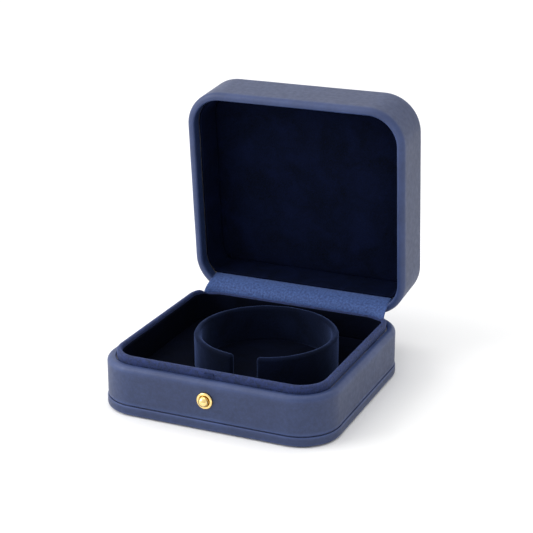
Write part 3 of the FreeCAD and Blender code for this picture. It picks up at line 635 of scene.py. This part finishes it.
def make_tray_covers():
    """Leatherette round the tray walls and, below a narrow seam, round the plinth."""
    slot_h, slot_in = 0.28, 0.62
    foot = SEAM_Z + slot_h
    outside = [(-slot_in, foot)] + arc(-SEAM_R, foot + SEAM_R, SEAM_R, -90, 0, 5)
    side_top = (0.0, WALL_TOP - EDGE_R)
    outside += run(outside[-1], side_top, 1.4) + arc(-EDGE_R, WALL_TOP - EDGE_R, EDGE_R, 0, 90, 10)
    lip = -NECK_IN + GROOVE_GAP
    outside += arc(lip + FOLD_R, WALL_TOP - FOLD_R, FOLD_R, 90, 180, 7)
    inner_r = EDGE_R - COVER_T
    inside = [(lip, WALL_TOP - FOLD_DOWN), (-NECK_IN, WALL_TOP - FOLD_DOWN), (-NECK_IN, WALL_TOP - COVER_T)]
    inside += arc(-EDGE_R, WALL_TOP - EDGE_R, inner_r, 90, 0, 6)
    inside += run(inside[-1], (-COVER_T, SEAM_Z), 2.8) + [(-COVER_T, SEAM_Z), (-slot_in, SEAM_Z)]
    wall = band("tray_wall_wrap", outside + inside, LEATHERETTE, ripple=0.035, size=11.0, seed=1.0)
    cut_for_barrel(wall, WALL_TOP - LEAF_SINK - LEAF_T, WALL_TOP + 1)
    through = 4.0
    cut(wall, rod_cutter(BEZEL_TUBE_R, (0, FRONT - through / 2, BUTTON_Z), (0, 1, 0), through))
    mark_edges(wall)
    hand_over(wall, "tray", "tray_wall_cover")

    foot_z = FOOT_T
    section = [(-PLINTH_WRAP, foot_z)] + run((-PLINTH_WRAP, foot_z), (PLINTH_OUT - COVER_T, foot_z), 1.8)
    section += arc(PLINTH_OUT - COVER_T, foot_z + COVER_T, COVER_T, -90, 0, 6)
    section += run(section[-1], (PLINTH_OUT, SEAM_Z - SEAM_R), 0.9)
    section += arc(PLINTH_OUT - SEAM_R, SEAM_Z - SEAM_R, SEAM_R, 0, 90, 5)
    section += [(PLINTH_OUT - COVER_T, SEAM_Z), (PLINTH_OUT - COVER_T, foot_z + COVER_T)]
    section += [(-PLINTH_WRAP, foot_z + COVER_T)]
    plinth = band("plinth_wrap", section, LEATHERETTE, ripple=0.03, size=8.0, seed=2.0)
    mark_edges(plinth, spread=2.2)
    hand_over(plinth, "tray", "plinth_cover")


def make_neck():
    """Suede cloth over the neck, fuller where it stands free of the walls, and the velvet inside it."""
    outer, inner = -NECK_IN, -NECK_IN - NECK_T
    centre_z = NECK_TOP - NECK_EDGE_R
    cloth_r = NECK_EDGE_R - NECK_CLOTH_T
    foot = SEAM_Z
    bulge = 0.04
    rise = [WALL_TOP + (centre_z - WALL_TOP) * i / 5 for i in range(1, 5)]
    swell = [(outer + bulge * math.sin(math.pi * i / 5), z) for i, z in enumerate(rise, 1)]
    section = [(outer, foot)] + run((outer, foot), (outer, WALL_TOP), 2.0) + [(outer, WALL_TOP)] + swell
    section += arc(outer - NECK_EDGE_R, centre_z, NECK_EDGE_R, 0, 90, 8)
    section += arc(inner + NECK_EDGE_R, centre_z, NECK_EDGE_R, 90, 180, 8)
    section += run((inner, centre_z), (inner, foot), 2.0) + [(inner, foot), (inner + NECK_CLOTH_T, foot)]
    section += arc(inner + NECK_EDGE_R, centre_z, cloth_r, 180, 90, 6)
    section += arc(outer - NECK_EDGE_R, centre_z, cloth_r, 90, 0, 6) + [(outer - NECK_CLOTH_T, foot)]
    neck = band("neck_wrap", section, NECK_CLOTH, ripple=0.06, size=3.2, seed=3.0)
    lower_back(neck, NECK_BACK_TOP)
    hand_over(neck, "tray", "neck_cloth")

    low_back, high_back = (-LINING_IN, FLOOR_BOARD_TOP), (-LINING_IN, LINING_TOP)
    face = -LINING_IN - LINING_T
    soft_r = LINING_T / 2
    section = [low_back] + run(low_back, high_back, 2.5) + [high_back]
    section += arc(face + soft_r, LINING_TOP - soft_r, soft_r, 90, 180, 5)
    section += run((face, LINING_TOP - soft_r), (face, FLOOR_BOARD_TOP), 1.5) + [(face, FLOOR_BOARD_TOP)]
    lining = band("side_lining_velvet", section, FLOOR_VELVET, ripple=0.08, size=7.0, seed=4.0)
    lower_back(lining, NECK_BACK_TOP - soft_r)
    hand_over(lining, "tray", "tray_side_lining")


# ---- outlines and lofts -------------------------------------------------------------------------
def outline(inset, z, back_limit=NO_BACK_LIMIT):
    """Points round the box's rounded outline, moved in by inset, the same number for every inset."""
    half_w, half_d = HALF_W - CORNER_R, HALF_D - CORNER_R
    radius = CORNER_R - inset
    side_steps = (round(2 * half_d / OUTLINE_STEP), round(2 * half_w / OUTLINE_STEP))
    corner_steps = 16
    points = []
    corners = ((1, -1, -90), (1, 1, 0), (-1, 1, 90), (-1, -1, 180))
    for index, (sx, sy, start) in enumerate(corners):
        centre = Vector((sx * half_w, sy * half_d, z))
        for step in range(corner_steps + 1):
            turn = math.radians(start + 90 * step / corner_steps)
            points.append(centre + Vector((math.cos(turn), math.sin(turn), 0)) * radius)
        following = corners[(index + 1) % 4]
        last = points[-1]
        turn = math.radians(following[2])
        goal = Vector((following[0] * half_w, following[1] * half_d, z))
        goal += Vector((math.cos(turn), math.sin(turn), 0)) * radius
        steps = side_steps[index % 2]
        points += [last.lerp(goal, i / steps) for i in range(1, steps)]
    return [Vector((p.x, min(p.y, back_limit), p.z)) for p in points]


def loft(name, rings, material, pole_first=None, pole_last=None, ring_closed=False):
    """Skin over rings of equally many points; a pole closes an end, or the rings join up as a tube."""
    count = len(rings[0])
    points = [p for ring in rings for p in ring]
    faces = []
    pairs = list(zip(range(len(rings)), range(1, len(rings))))
    if ring_closed:
        pairs.append((len(rings) - 1, 0))
    for a, b in pairs:
        for i in range(count):
            j = (i + 1) % count
            faces.append((a * count + i, a * count + j, b * count + j, b * count + i))
    for pole, ring in ((pole_first, 0), (pole_last, len(rings) - 1)):
        if pole is not None:
            points.append(pole)
            start = ring * count
            faces += [(len(points) - 1, start + i, start + (i + 1) % count) for i in range(count)]
    return piece_from(name, points, faces, material)


def inward(inset, z, share):
    """A ring of the outline shrunk by share towards the box's middle."""
    return [p.lerp(Vector((0, 0, z)), share) for p in outline(inset, z)]


def make_lid_cover():
    """Leatherette pulled over the lid: turned in at the rim, up the sides and over the top."""
    turn_in = LID_IN + TURN_IN_T
    side = LID_INSET
    under = LID_TOP - COVER_T
    turned_to = LINER_EDGE - LAY_CLEAR
    section = [(-turn_in, turned_to)] + run((-turn_in, LINER_EDGE), (-turn_in, LID_RIM + FOLD_R), 1.2)
    section += arc(-turn_in + FOLD_R, LID_RIM + FOLD_R, FOLD_R, 180, 270, 6)
    section += arc(-side - EDGE_R, LID_RIM + EDGE_R, EDGE_R, 270, 360, 10)
    section += run((-side, LID_RIM + EDGE_R), (-side, LID_TOP - LID_TOP_R), 1.4)
    section += arc(-side - LID_TOP_R, LID_TOP - LID_TOP_R, LID_TOP_R, 0, 90, 10)
    top_in = side + LID_TOP_R
    nearly_flat = (1.2, 2.6, 4.2, 6.0)
    flat_in = top_in + nearly_flat[-1]
    to_middle = 18
    outer = [outline(-out, z) for out, z in section]
    outer += [outline(top_in + further, LID_TOP) for further in nearly_flat]
    outer += [inward(flat_in, LID_TOP, i / to_middle) for i in range(1, to_middle)]
    inner_side = side + COVER_T
    back = arc(-side - LID_TOP_R, LID_TOP - LID_TOP_R, LID_TOP_R - COVER_T, 90, 0, 6)
    back += [(-inner_side, (LID_TOP + LID_RIM) / 2), (-inner_side, LID_RIM + EDGE_R)]
    back += arc(-side - EDGE_R, LID_RIM + EDGE_R, EDGE_R - COVER_T, 360, 270, 6)[1:]
    back += [(-LID_IN, LID_RIM + COVER_T), (-LID_IN, turned_to)]
    inner = [inward(flat_in, under, 0.8), outline(flat_in, under)]
    inner += [outline(-out, z) for out, z in back]
    rings = list(reversed(outer)) + list(reversed(inner))
    lid = loft("lid_wrap", rings, LEATHERETTE, pole_first=Vector((0, 0, LID_TOP)),
               pole_last=Vector((0, 0, under)))
    soften(lid, depth=0.06, size=13.0, seed=5.0)
    cut_for_barrel(lid, LID_RIM - 1, LID_RIM + LEAF_SINK + LEAF_T)
    nose_top = mm_box("latch_plate")[1].z
    half = NOSE_W / 2 + NOSE_CLEAR
    cut(lid, box_cutter((-half, FRONT + LID_IN - COVER_T, nose_top - NOSE_T - NOSE_CLEAR),
                        (half, FRONT + LID_IN + COVER_T, nose_top + NOSE_CLEAR)))
    mark_edges(lid)
    open_lid(lid)
    hand_over(lid, "lid", "lid_cover")


def make_liner():
    """Velvet-covered liner inside the lid: a thin folded edge, and straight across at the back."""
    middle = LID_IN + LINER_T / 2
    outer, face = -LID_IN, -LID_IN - LINER_T
    board_face = face + LINER_CLOTH_T
    edge_r = 0.45
    section = arc(outer - edge_r, LINER_EDGE + edge_r, edge_r, 0, -90, 5)
    section += arc(face + edge_r, LINER_EDGE + edge_r, edge_r, -90, -180, 5)
    section += run((face, LINER_EDGE + edge_r), (face, PANEL_UNDER), 1.3) + [(face, PANEL_UNDER)]
    section += [(board_face, PANEL_UNDER), (board_face, LINER_EDGE + LINER_CLOTH_T)]
    section += [(outer, LINER_EDGE + LINER_CLOTH_T)]
    liner = band("lid_liner_wrap", section, LID_VELVET, inset=middle, back_limit=LINER_BACK + LINER_T / 2,
                 ripple=0.06, size=8.0, seed=6.0)
    open_lid(liner)
    hand_over(liner, "lid", "lid_liner_velvet")


# ---- padded velvet ------------------------------------------------------------------------------
def padded_rings(outer_ring, inner_ring, low, high, edge_r, steps):
    """Rings of a flat pad from its outer underside, over its rounded edge, to its middle."""
    def between(share, z):
        """The ring at that share of the way in, at a height."""
        return [Vector((a.x + (b.x - a.x) * share, a.y + (b.y - a.y) * share, z))
                for a, b in zip(outer_ring, inner_ring)]

    width = sum((a.xy - b.xy).length for a, b in zip(outer_ring, inner_ring)) / len(outer_ring)
    up = math.copysign(1, high - low)
    tucked_in, full_height, edge_steps = 0.6, 0.25, 4
    rings = [between(edge_r / width * tucked_in, low), between(0.0, low + (high - low) * full_height)]
    for i in range(1, edge_steps + 1):
        turn = math.radians(90 * i / edge_steps)
        fall = up * edge_r * (1 - math.sin(turn))
        rings.append(between(edge_r / width * (1 - math.cos(turn)), high - fall))
    start = edge_r / width
    rings += [between(start + (1 - start) * (i / steps), high) for i in range(1, steps)]
    return rings


def puff(piece, cap, held_below, up):
    """Lets air swell a pad's face with a cloth simulation; its glued back stays where it is."""
    scene = bpy.context.scene
    rest = [v.co.copy() for v in piece.data.vertices]
    held = piece.vertex_groups.new(name="glued")
    held.add([i for i, co in enumerate(rest) if co.z * up < held_below * up * MM], 1.0, "REPLACE")
    cloth = piece.modifiers.new("swell", "CLOTH")
    cloth.settings.vertex_group_mass = "glued"
    cloth.settings.effector_weights.gravity = 0
    cloth.settings.use_pressure = True
    cloth.settings.uniform_pressure_force = PAD_PRESSURE
    cloth.settings.quality = 4
    cloth.settings.mass = 0.3
    cloth.collision_settings.use_collision = False
    last_frame = 20
    cloth.point_cache.frame_start = 1
    cloth.point_cache.frame_end = last_frame
    for frame_number in range(1, last_frame + 1):
        scene.frame_set(frame_number)
    settle(piece)
    scene.frame_set(1)
    farthest = max((vertex.co - start).length for vertex, start in zip(piece.data.vertices, rest))
    share = min(1.0, cap * MM / farthest)
    for vertex, start in zip(piece.data.vertices, rest):
        vertex.co = start.lerp(vertex.co, share)
    piece.data.update()


def finish_pad(piece, body, node, cap, held_below, up=1):
    """Swells a pad, by no more than cap millimetres, and puts it in its place."""
    puff(piece, cap, held_below, up)
    for polygon in piece.data.polygons:
        polygon.use_smooth = True
    if up < 0:
        open_lid(piece)
    hand_over(piece, body, node)


def on_ray(turn, inset):
    """Where a ray from the collar's middle meets the outline moved in by inset."""
    way = Vector((math.cos(turn), math.sin(turn)))
    start = Vector((COLLAR_X, COLLAR_Y))
    near, far = 0.0, 120.0
    halvings = 40
    for _ in range(halvings):
        mid = (near + far) / 2
        p = start + way * mid
        over_x = abs(p.x) - (HALF_W - CORNER_R)
        over_y = abs(p.y) - (HALF_D - CORNER_R)
        if over_x > 0 and over_y > 0:
            inside = CORNER_R - math.hypot(over_x, over_y)
        else:
            inside = min(HALF_W - abs(p.x), HALF_D - abs(p.y))
        near, far = (mid, far) if inside > inset else (near, mid)
    return start + way * near


def round_collar(turn, radius):
    """A point at a turn and a distance from the collar's middle."""
    return Vector((COLLAR_X + radius * math.cos(turn), COLLAR_Y + radius * math.sin(turn), 0))


def make_floor():
    """Velvet floor round the collar, and the pad in its middle."""
    count = 240
    turns = [2 * math.pi * i / count for i in range(count)]
    gap_turn = math.radians(COLLAR_GAP_TURN)
    half_gap = (COLLAR_GAP + COLLAR_T) / 2 / COLLAR_R
    tip_gap = COLLAR_GAP / 2 / COLLAR_R
    clear, early = 0.12, 0.01
    well_r = COLLAR_R - COLLAR_T / 2 - LAY_CLEAR
    outer, hole = [], []
    for turn in turns:
        away = abs((turn - gap_turn + math.pi) % (2 * math.pi) - math.pi)
        opened = min(1.0, max(0.0, (away - tip_gap + early) / (half_gap - tip_gap)))
        radius = well_r + clear + (COLLAR_OUT_R - well_r) * ease(opened)
        edge = on_ray(turn, LINING_IN + LINING_T + LAY_CLEAR)
        outer.append(Vector((edge.x, edge.y, 0)))
        hole.append(round_collar(turn, radius))
    mid = [a.lerp(b, 0.5) for a, b in zip(outer, hole)]
    swelling = 0.25
    face = FLOOR_TOP - swelling
    rings = padded_rings(outer, mid, FLOOR_BOARD_TOP, face, edge_r=0.7, steps=5)
    rings += list(reversed(padded_rings(hole, mid, FLOOR_BOARD_TOP, face, edge_r=0.7, steps=6)))
    floor = loft("floor_velvet", rings, FLOOR_VELVET, ring_closed=True)
    finish_pad(floor, "tray", "floor_velvet_pad", cap=0.35, held_below=FLOOR_BOARD_TOP + 0.6)

    ring = [round_collar(turn, well_r) for turn in turns[::2]]
    centre = [Vector((COLLAR_X, COLLAR_Y, 0))] * len(ring)
    swelling = 0.2
    low, high = FOAM_TOP, WELL_PAD_TOP - swelling
    rings = padded_rings(ring, centre, low, high, edge_r=0.5, steps=14)
    pad = loft("collar_well_velvet", rings, FLOOR_VELVET, pole_first=Vector((COLLAR_X, COLLAR_Y, low)),
               pole_last=Vector((COLLAR_X, COLLAR_Y, high)))
    finish_pad(pad, "tray", "collar_floor_pad", cap=0.3, held_below=FOAM_TOP + 0.5)


def make_panel():
    """Padded velvet panel inside the lid's top, drawn on the closed lid with its face down."""
    inset = LID_IN + LINER_T + LAY_CLEAR
    back = LINER_BACK - LAY_CLEAR
    middle_y = (back - HALF_D + inset) / 2
    ring = outline(inset, 0, back)
    centre = [Vector((0, middle_y, 0))] * len(ring)
    swelling = 0.3
    face = PANEL_UNDER - PANEL_PAD_T + swelling
    rings = padded_rings(ring, centre, PANEL_UNDER, face, edge_r=0.9, steps=22)
    panel = loft("lid_panel_velvet", rings, LID_VELVET, pole_first=Vector((0, middle_y, PANEL_UNDER)),
                 pole_last=Vector((0, middle_y, face)))
    finish_pad(panel, "lid", "lid_panel_pad", cap=0.8, held_below=PANEL_UNDER - 0.5, up=-1)


# ---- collar -------------------------------------------------------------------------------------
def make_collar():
    """Velvet-covered C that the bangle stands round, with a rounded rim and rounded ends."""
    half_gap = (COLLAR_GAP + COLLAR_T) / 2 / COLLAR_R
    start = math.radians(COLLAR_GAP_TURN) + half_gap
    stop = math.radians(COLLAR_GAP_TURN) + 2 * math.pi - half_gap
    low = FOAM_TOP
    half = COLLAR_T / 2

    def shoulder(r, top):
        """Half section from its foot to its middle: (distance from the middle, height)."""
        side_steps = 8
        side = [(r, low + (top - r - low) * i / side_steps) for i in range(side_steps)]
        dome = [(r * math.cos(math.radians(a)), top - r + r * math.sin(math.radians(a)))
                for a in range(0, 91, 10)]
        return side + dome

    def spot(turn, across, along, z):
        """A point at a turn round the collar, so far across its wall and along it."""
        way = Vector((math.cos(turn), math.sin(turn), 0))
        side = Vector((-math.sin(turn), math.cos(turn), 0))
        return Vector((COLLAR_X, COLLAR_Y, z)) + way * (COLLAR_R + across) + side * along

    def shell(r, top):
        """Loops round the whole C, from its foot up to the line along its top."""
        turns, end_points = 190, 13
        end = [math.pi * k / (end_points + 1) for k in range(1, end_points + 1)]
        loops = []
        for d, z in shoulder(r, top)[:-1]:
            loop = [spot(start + (stop - start) * i / turns, d, 0, z) for i in range(turns + 1)]
            loop += [spot(stop, d * math.cos(a), d * math.sin(a), z) for a in end]
            loop += [spot(stop + (start - stop) * i / turns, -d, 0, z) for i in range(turns + 1)]
            loop += [spot(start, -d * math.cos(a), -d * math.sin(a), z) for a in end]
            loops.append(loop)
        crest = [spot(start + (stop - start) * i / turns, 0, 0, top) for i in range(turns + 1)]
        crest += [spot(stop, 0, 0, top)] * end_points + list(reversed(crest))
        crest += [spot(start, 0, 0, top)] * end_points
        return loops + [crest]

    outer = shell(half, COLLAR_TOP)
    inner = shell(half - COLLAR_CLOTH_T, COLLAR_TOP - COLLAR_CLOTH_T)
    collar = loft("collar_wrap", list(reversed(inner)) + outer, COLLAR_VELVET)
    soften(collar, depth=0.10, size=6.0, seed=8.0)
    hand_over(collar, "tray", "collar_velvet")


# ---- hinge strip --------------------------------------------------------------------------------
def make_strip():
    """One woven strip, glued behind the neck and behind the lid's liner, over the hinge between them."""
    def opened(y, z):
        """Where a place on the closed lid is once the lid is open, as (y, z)."""
        spot = CLOSED_TO_OPEN @ Vector((0, y, z))
        return Vector((spot.y, spot.z))

    lid_glue_y = 40.375       # in the gap between the liner and the lid's back wall
    comes_free = 0.75         # above the tray's wall
    foot = Vector((HALF_D - NECK_IN - STRIP_T / 2, WALL_TOP + comes_free))
    top = opened(lid_glue_y, LINER_EDGE)
    into_lid = (opened(lid_glue_y, LINER_EDGE + 1) - top).normalized()
    lead_up, lead_in = 3.0, 3.5
    control = (foot, foot + Vector((0, lead_up)), top - into_lid * lead_in, top)

    def free_span(t):
        """The stretch that isn't glued, from the neck (0) to the lid (1)."""
        weights = ((1 - t) ** 3, 3 * t * (1 - t) ** 2, 3 * t * t * (1 - t), t ** 3)
        return sum((p * w for p, w in zip(control, weights)), Vector((0, 0)))

    glued_steps, free_steps = 8, 26
    line = [foot - Vector((0, STRIP_GLUED * (1 - i / glued_steps))) for i in range(glued_steps)]
    line += [free_span(i / free_steps) for i in range(free_steps + 1)]
    line += [top + into_lid * (STRIP_GLUED * i / glued_steps) for i in range(1, glued_steps + 1)]
    travelled = [0.0]
    for a, b in zip(line, line[1:]):
        travelled.append(travelled[-1] + (b - a).length)
    glued_low, glued_high = glued_steps, glued_steps + free_steps
    columns = 120
    narrowed, wave_h, wave_size, wave_seed = 0.6, 0.16, 9, 3.0
    points, map_points = [], []
    corner_x = HALF_W - CORNER_R
    neck_r = CORNER_R - NECK_IN - STRIP_T / 2
    for i in range(columns + 1):
        for j, spot in enumerate(line):
            on_neck = 1.0 if j <= glued_low else max(0.0, (glued_high - j) / (glued_high - glued_low))
            held = ease(on_neck)
            half = STRIP_W / 2 - narrowed * (1 - held)
            x = half * (2 * i / columns - 1)
            over = max(0.0, abs(x) - corner_x)
            drawn_in = neck_r - math.sqrt(max(0.0, neck_r ** 2 - over ** 2))
            free = 1.0 if glued_low < j < glued_high else 0.0
            wave = free * math.sin(math.pi * (j - glued_low) / (glued_high - glued_low)) ** 2
            lift = wave_h * wave * noise.noise(Vector((x / wave_size, j / wave_size, wave_seed)))
            points.append(Vector((x, spot.x - drawn_in * held, spot.y + lift)))
            map_points.append((x, travelled[j]))
    rows = len(line)
    faces = [(i * rows + j, (i + 1) * rows + j, (i + 1) * rows + j + 1, i * rows + j + 1)
             for i in range(columns) for j in range(rows - 1)]
    strip = piece_from("hinge_strip", points, faces, HINGE_CLOTH)
    lay = strip.data.uv_layers.new(name="cloth_mm")
    for loop in strip.data.loops:
        lay.data[loop.index].uv = map_points[loop.vertex_index]
    thick = strip.modifiers.new("thick", "SOLIDIFY")
    thick.thickness = STRIP_T * MM
    thick.offset = 0
    settle(strip)
    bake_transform(strip)
    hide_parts("hinge_strip_tray_end", "hinge_strip_lid_end")


# ---- catch --------------------------------------------------------------------------------------
def turned_part(name, line, material, body, node):
    """A part turned about the button's axis from points (radius, y); a zero radius closes it."""
    count = 96
    turns = [2 * math.pi * i / count for i in range(count)]
    rings = [[Vector((r * math.cos(turn), y, BUTTON_Z + r * math.sin(turn))) for turn in turns]
             for r, y in line if r > 0]
    poles = [Vector((0, y, BUTTON_Z)) for r, y in line if r == 0]
    if poles:
        part = loft(name, rings, material, pole_first=poles[0], pole_last=poles[-1])
    else:
        part = loft(name, rings, material, ring_closed=True)
    hand_over(part, body, node)


def make_catch():
    """Gold ring in the front wall, with its tube, and the domed button that slides in it.  In these
    sections an arc's angles go from the radius towards +Y."""
    face, back = BEZEL_LOW.y, BEZEL_HIGH.y
    button_clear, stem_hole, shelf_t, tube_step = 0.08, 0.89, 0.6, 0.02
    bead, lip, flat = 0.5, 0.22, 0.12
    bore = BUTTON_R + button_clear
    shelf = back - shelf_t
    line = [(BEZEL_R, FRONT)] + arc(BEZEL_R - bead, face + bead, bead, 0, -90, 8)
    line += arc(bore + lip + flat, face + lip, lip, -90, -180, 5)
    line += [(bore, face + 2 * lip), (bore, FRONT), (bore, shelf), (stem_hole, shelf), (stem_hole, back),
             (BEZEL_TUBE_R, back), (BEZEL_TUBE_R, FRONT + tube_step)]
    turned_part("gold_bezel", line, GOLD, "tray", "clasp_bezel")

    tip, end = BUTTON_LOW.y, BUTTON_HIGH.y
    tenon_r, stem_r, plate_gap, head_in = 0.5, 0.8, 0.35, 0.9
    dome_start = tip + BUTTON_DOME
    plate_y = FRONT + NECK_IN + plate_gap
    head_back = FRONT + head_in
    dome_r = (BUTTON_R ** 2 + BUTTON_DOME ** 2) / (2 * BUTTON_DOME)
    reach = math.degrees(math.asin(BUTTON_R / dome_r))
    line = [(0, end), (tenon_r, end), (tenon_r, plate_y), (stem_r, plate_y), (stem_r, head_back)]
    line += [(BUTTON_R, y) for y in (head_back, head_back - 0.1, dome_start + 0.6, dome_start + 0.1)]
    line += arc(0, tip + dome_r, dome_r, reach - 90, -90, 20)[:-1] + [(0, tip)]
    turned_part("gold_button", line, GOLD, "button", "push_button")


def make_spring():
    """Coil spring behind the button's head, with ground ends."""
    low, high = mm_box("button_spring")
    coil_r = high.x - SPRING_WIRE_R
    steps, sides = 30 * SPRING_TURNS, 10        # 30 short lengths to a turn, 10 faces round the wire
    first, last = low.y + SPRING_WIRE_R, high.y - SPRING_WIRE_R
    points = []
    for i in range(steps + 1):
        turn = 2 * math.pi * SPRING_TURNS * i / steps
        out = Vector((math.cos(turn), 0, math.sin(turn)))
        middle = out * coil_r + Vector((0, first + (last - first) * i / steps, BUTTON_Z))
        for k in range(sides):
            way = 2 * math.pi * k / sides
            points.append(middle + (out * math.cos(way) + Vector((0, math.sin(way), 0))) * SPRING_WIRE_R)
    faces = [tuple(range(sides)), tuple(range(steps * sides, (steps + 1) * sides))]
    for ring in range(0, steps * sides, sides):
        for k in range(sides):
            following = (k + 1) % sides
            faces.append((ring + k, ring + following, ring + sides + following, ring + sides + k))
    spring = piece_from("coil_spring", points, faces, SPRING_STEEL)
    hand_over(spring, "button", "button_spring")
    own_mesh(spring)


# ---- hidden soft pieces -------------------------------------------------------------------------
def make_foam_and_felt():
    """Block of foam under the floor, and the felt under the plinth, let into the turned-in covering."""
    soft, far_in = 0.4, 8
    rings = [outline(LINING_IN + LAY_CLEAR + further, z) for further, z in (
        (far_in, FOAM_LOW), (soft, FOAM_LOW), (0, FOAM_LOW + soft), (0, (FOAM_LOW + FOAM_TOP) / 2),
        (0, FOAM_TOP - soft), (soft, FOAM_TOP), (far_in, FOAM_TOP))]
    block = loft("floor_foam_block", rings, FOAM, pole_first=Vector((0, 0, FOAM_LOW)),
                 pole_last=Vector((0, 0, FOAM_TOP)))
    soften(block, depth=0.05, size=4.0, seed=9.0)
    hand_over(block, "tray", "floor_foam")

    top, fuzz, middle_in = mm_box("felt_foot")[1].z, 0.12, 6
    rings = [outline(inset, z) for inset, z in (
        (FOOT_INSET + middle_in, 0), (FOOT_INSET + fuzz, 0), (FOOT_INSET, FOOT_T / 2),
        (FOOT_INSET + fuzz, FOOT_T), (PLINTH_WRAP, FOOT_T), (PLINTH_WRAP, top),
        (PLINTH_WRAP + middle_in, top))]
    foot = loft("felt_under", rings, FELT, pole_first=Vector((0, 0, 0)), pole_last=Vector((0, 0, top)))
    hand_over(foot, "tray", "felt_foot")


def finish_cad_pieces():
    """Procedural finishes on the CAD pieces that keep their own shape."""
    finishes = {
        BOARD: ("plinth_board", "tray_wall_board", "neck_board", "floor_board", "collar_board",
                "lid_wall_board", "lid_roof_board", "lid_liner_board", "lid_panel_board", "lid_hinge_block"),
        HINGE_STEEL: ("hinge_leaf_lower", "hinge_leaf_upper", "hinge_pin", "hinge_screws_lower",
                      "hinge_screws_upper"),
        CATCH_STEEL: ("latch_plate", "latch_clip", "keeper_plate", "keeper_screws"),
    }
    for material, names in finishes.items():
        for name in names:
            mesh = frame["nodes"][name].data
            mesh.materials.clear()
            mesh.materials.append(material)


# ---- studio -------------------------------------------------------------------------------------
def make_studio():
    """White paper floor, a white surround a little dimmer towards the right, and two soft lights."""
    material, tree, shader, place = finish("studio_floor_white", Roughness=0.9, IOR=1.3)
    paper = add(tree, "ShaderNodeTexNoise", {"Vector": place, "Scale": 0.02, "Detail": 1.0})
    tone = add(tree, "ShaderNodeMix", {0: paper, 6: colour("#F6F6F6"), 7: colour("#FAFAFA")},
               data_type="RGBA")
    drive(tree, shader, Base_Color=tone.outputs[2])
    shader.inputs["Specular IOR Level"].default_value = 0.0
    reach = 6000
    corners = [(-reach, -reach, 0), (reach, -reach, 0), (reach, reach, 0), (-reach, reach, 0)]
    floor = piece_from("studio_floor", corners, [(0, 1, 2, 3)], material)

    world = bpy.data.worlds.new("studio_surround")
    world.use_nodes = True
    bpy.context.scene.world = world
    around = world.node_tree
    surround = around.nodes["Background"]
    surround.inputs["Color"].default_value = colour("#FFFFFF")
    dim_side = (0.8, -0.6, -0.1)
    bright_end, dim_end, bright, dim = -0.7, 0.9, 1.20, 0.80
    way = add(around, "ShaderNodeTexCoord")
    towards = add(around, "ShaderNodeVectorMath", {0: way.outputs["Generated"], 1: dim_side},
                  operation="DOT_PRODUCT")
    shade = add(around, "ShaderNodeMapRange",
                {0: towards.outputs["Value"], 1: bright_end, 2: dim_end, 3: bright, 4: dim})
    drive(around, surround, Strength=shade)

    aim = Vector((0, 0, 0.03))
    for name, spot, size, power in (
            ("key_light", (-0.60, -0.40, 0.50), 0.60, 4.0),
            ("top_light", (-0.05, 0.10, 0.90), 0.70, 1.0)):
        lamp = bpy.data.lights.new(name, "AREA")
        lamp.size = size
        lamp.energy = power
        light = bpy.data.objects.new(name, lamp)
        light.location = spot
        light.rotation_mode = "QUATERNION"
        light.rotation_quaternion = (Vector(spot) - aim).to_track_quat("Z", "Y")
        bpy.context.scene.collection.objects.link(light)


def make_camera():
    """A long lens, from the front, a little to the right and above."""
    azimuth, elevation = math.radians(23.65), math.radians(19.50)
    back = Vector((math.sin(azimuth) * math.cos(elevation), -math.cos(azimuth) * math.cos(elevation),
                   math.sin(elevation)))
    lens = bpy.data.cameras.new("camera")
    lens.sensor_width = 36
    lens.lens = 99.5
    camera = bpy.data.objects.new("camera", lens)
    camera.location = (0.2316, -0.5167, 0.2536)
    camera.rotation_mode = "QUATERNION"
    camera.rotation_quaternion = back.to_track_quat("Z", "Y")
    bpy.context.scene.collection.objects.link(camera)
    bpy.context.scene.camera = camera
    bpy.context.scene.view_settings.view_transform = "Standard"


make_camera()
make_studio()
make_tray_covers()
make_neck()
make_lid_cover()
make_liner()
make_floor()
make_panel()
make_collar()
make_strip()
make_catch()
make_spring()
make_foam_and_felt()
finish_cad_pieces()
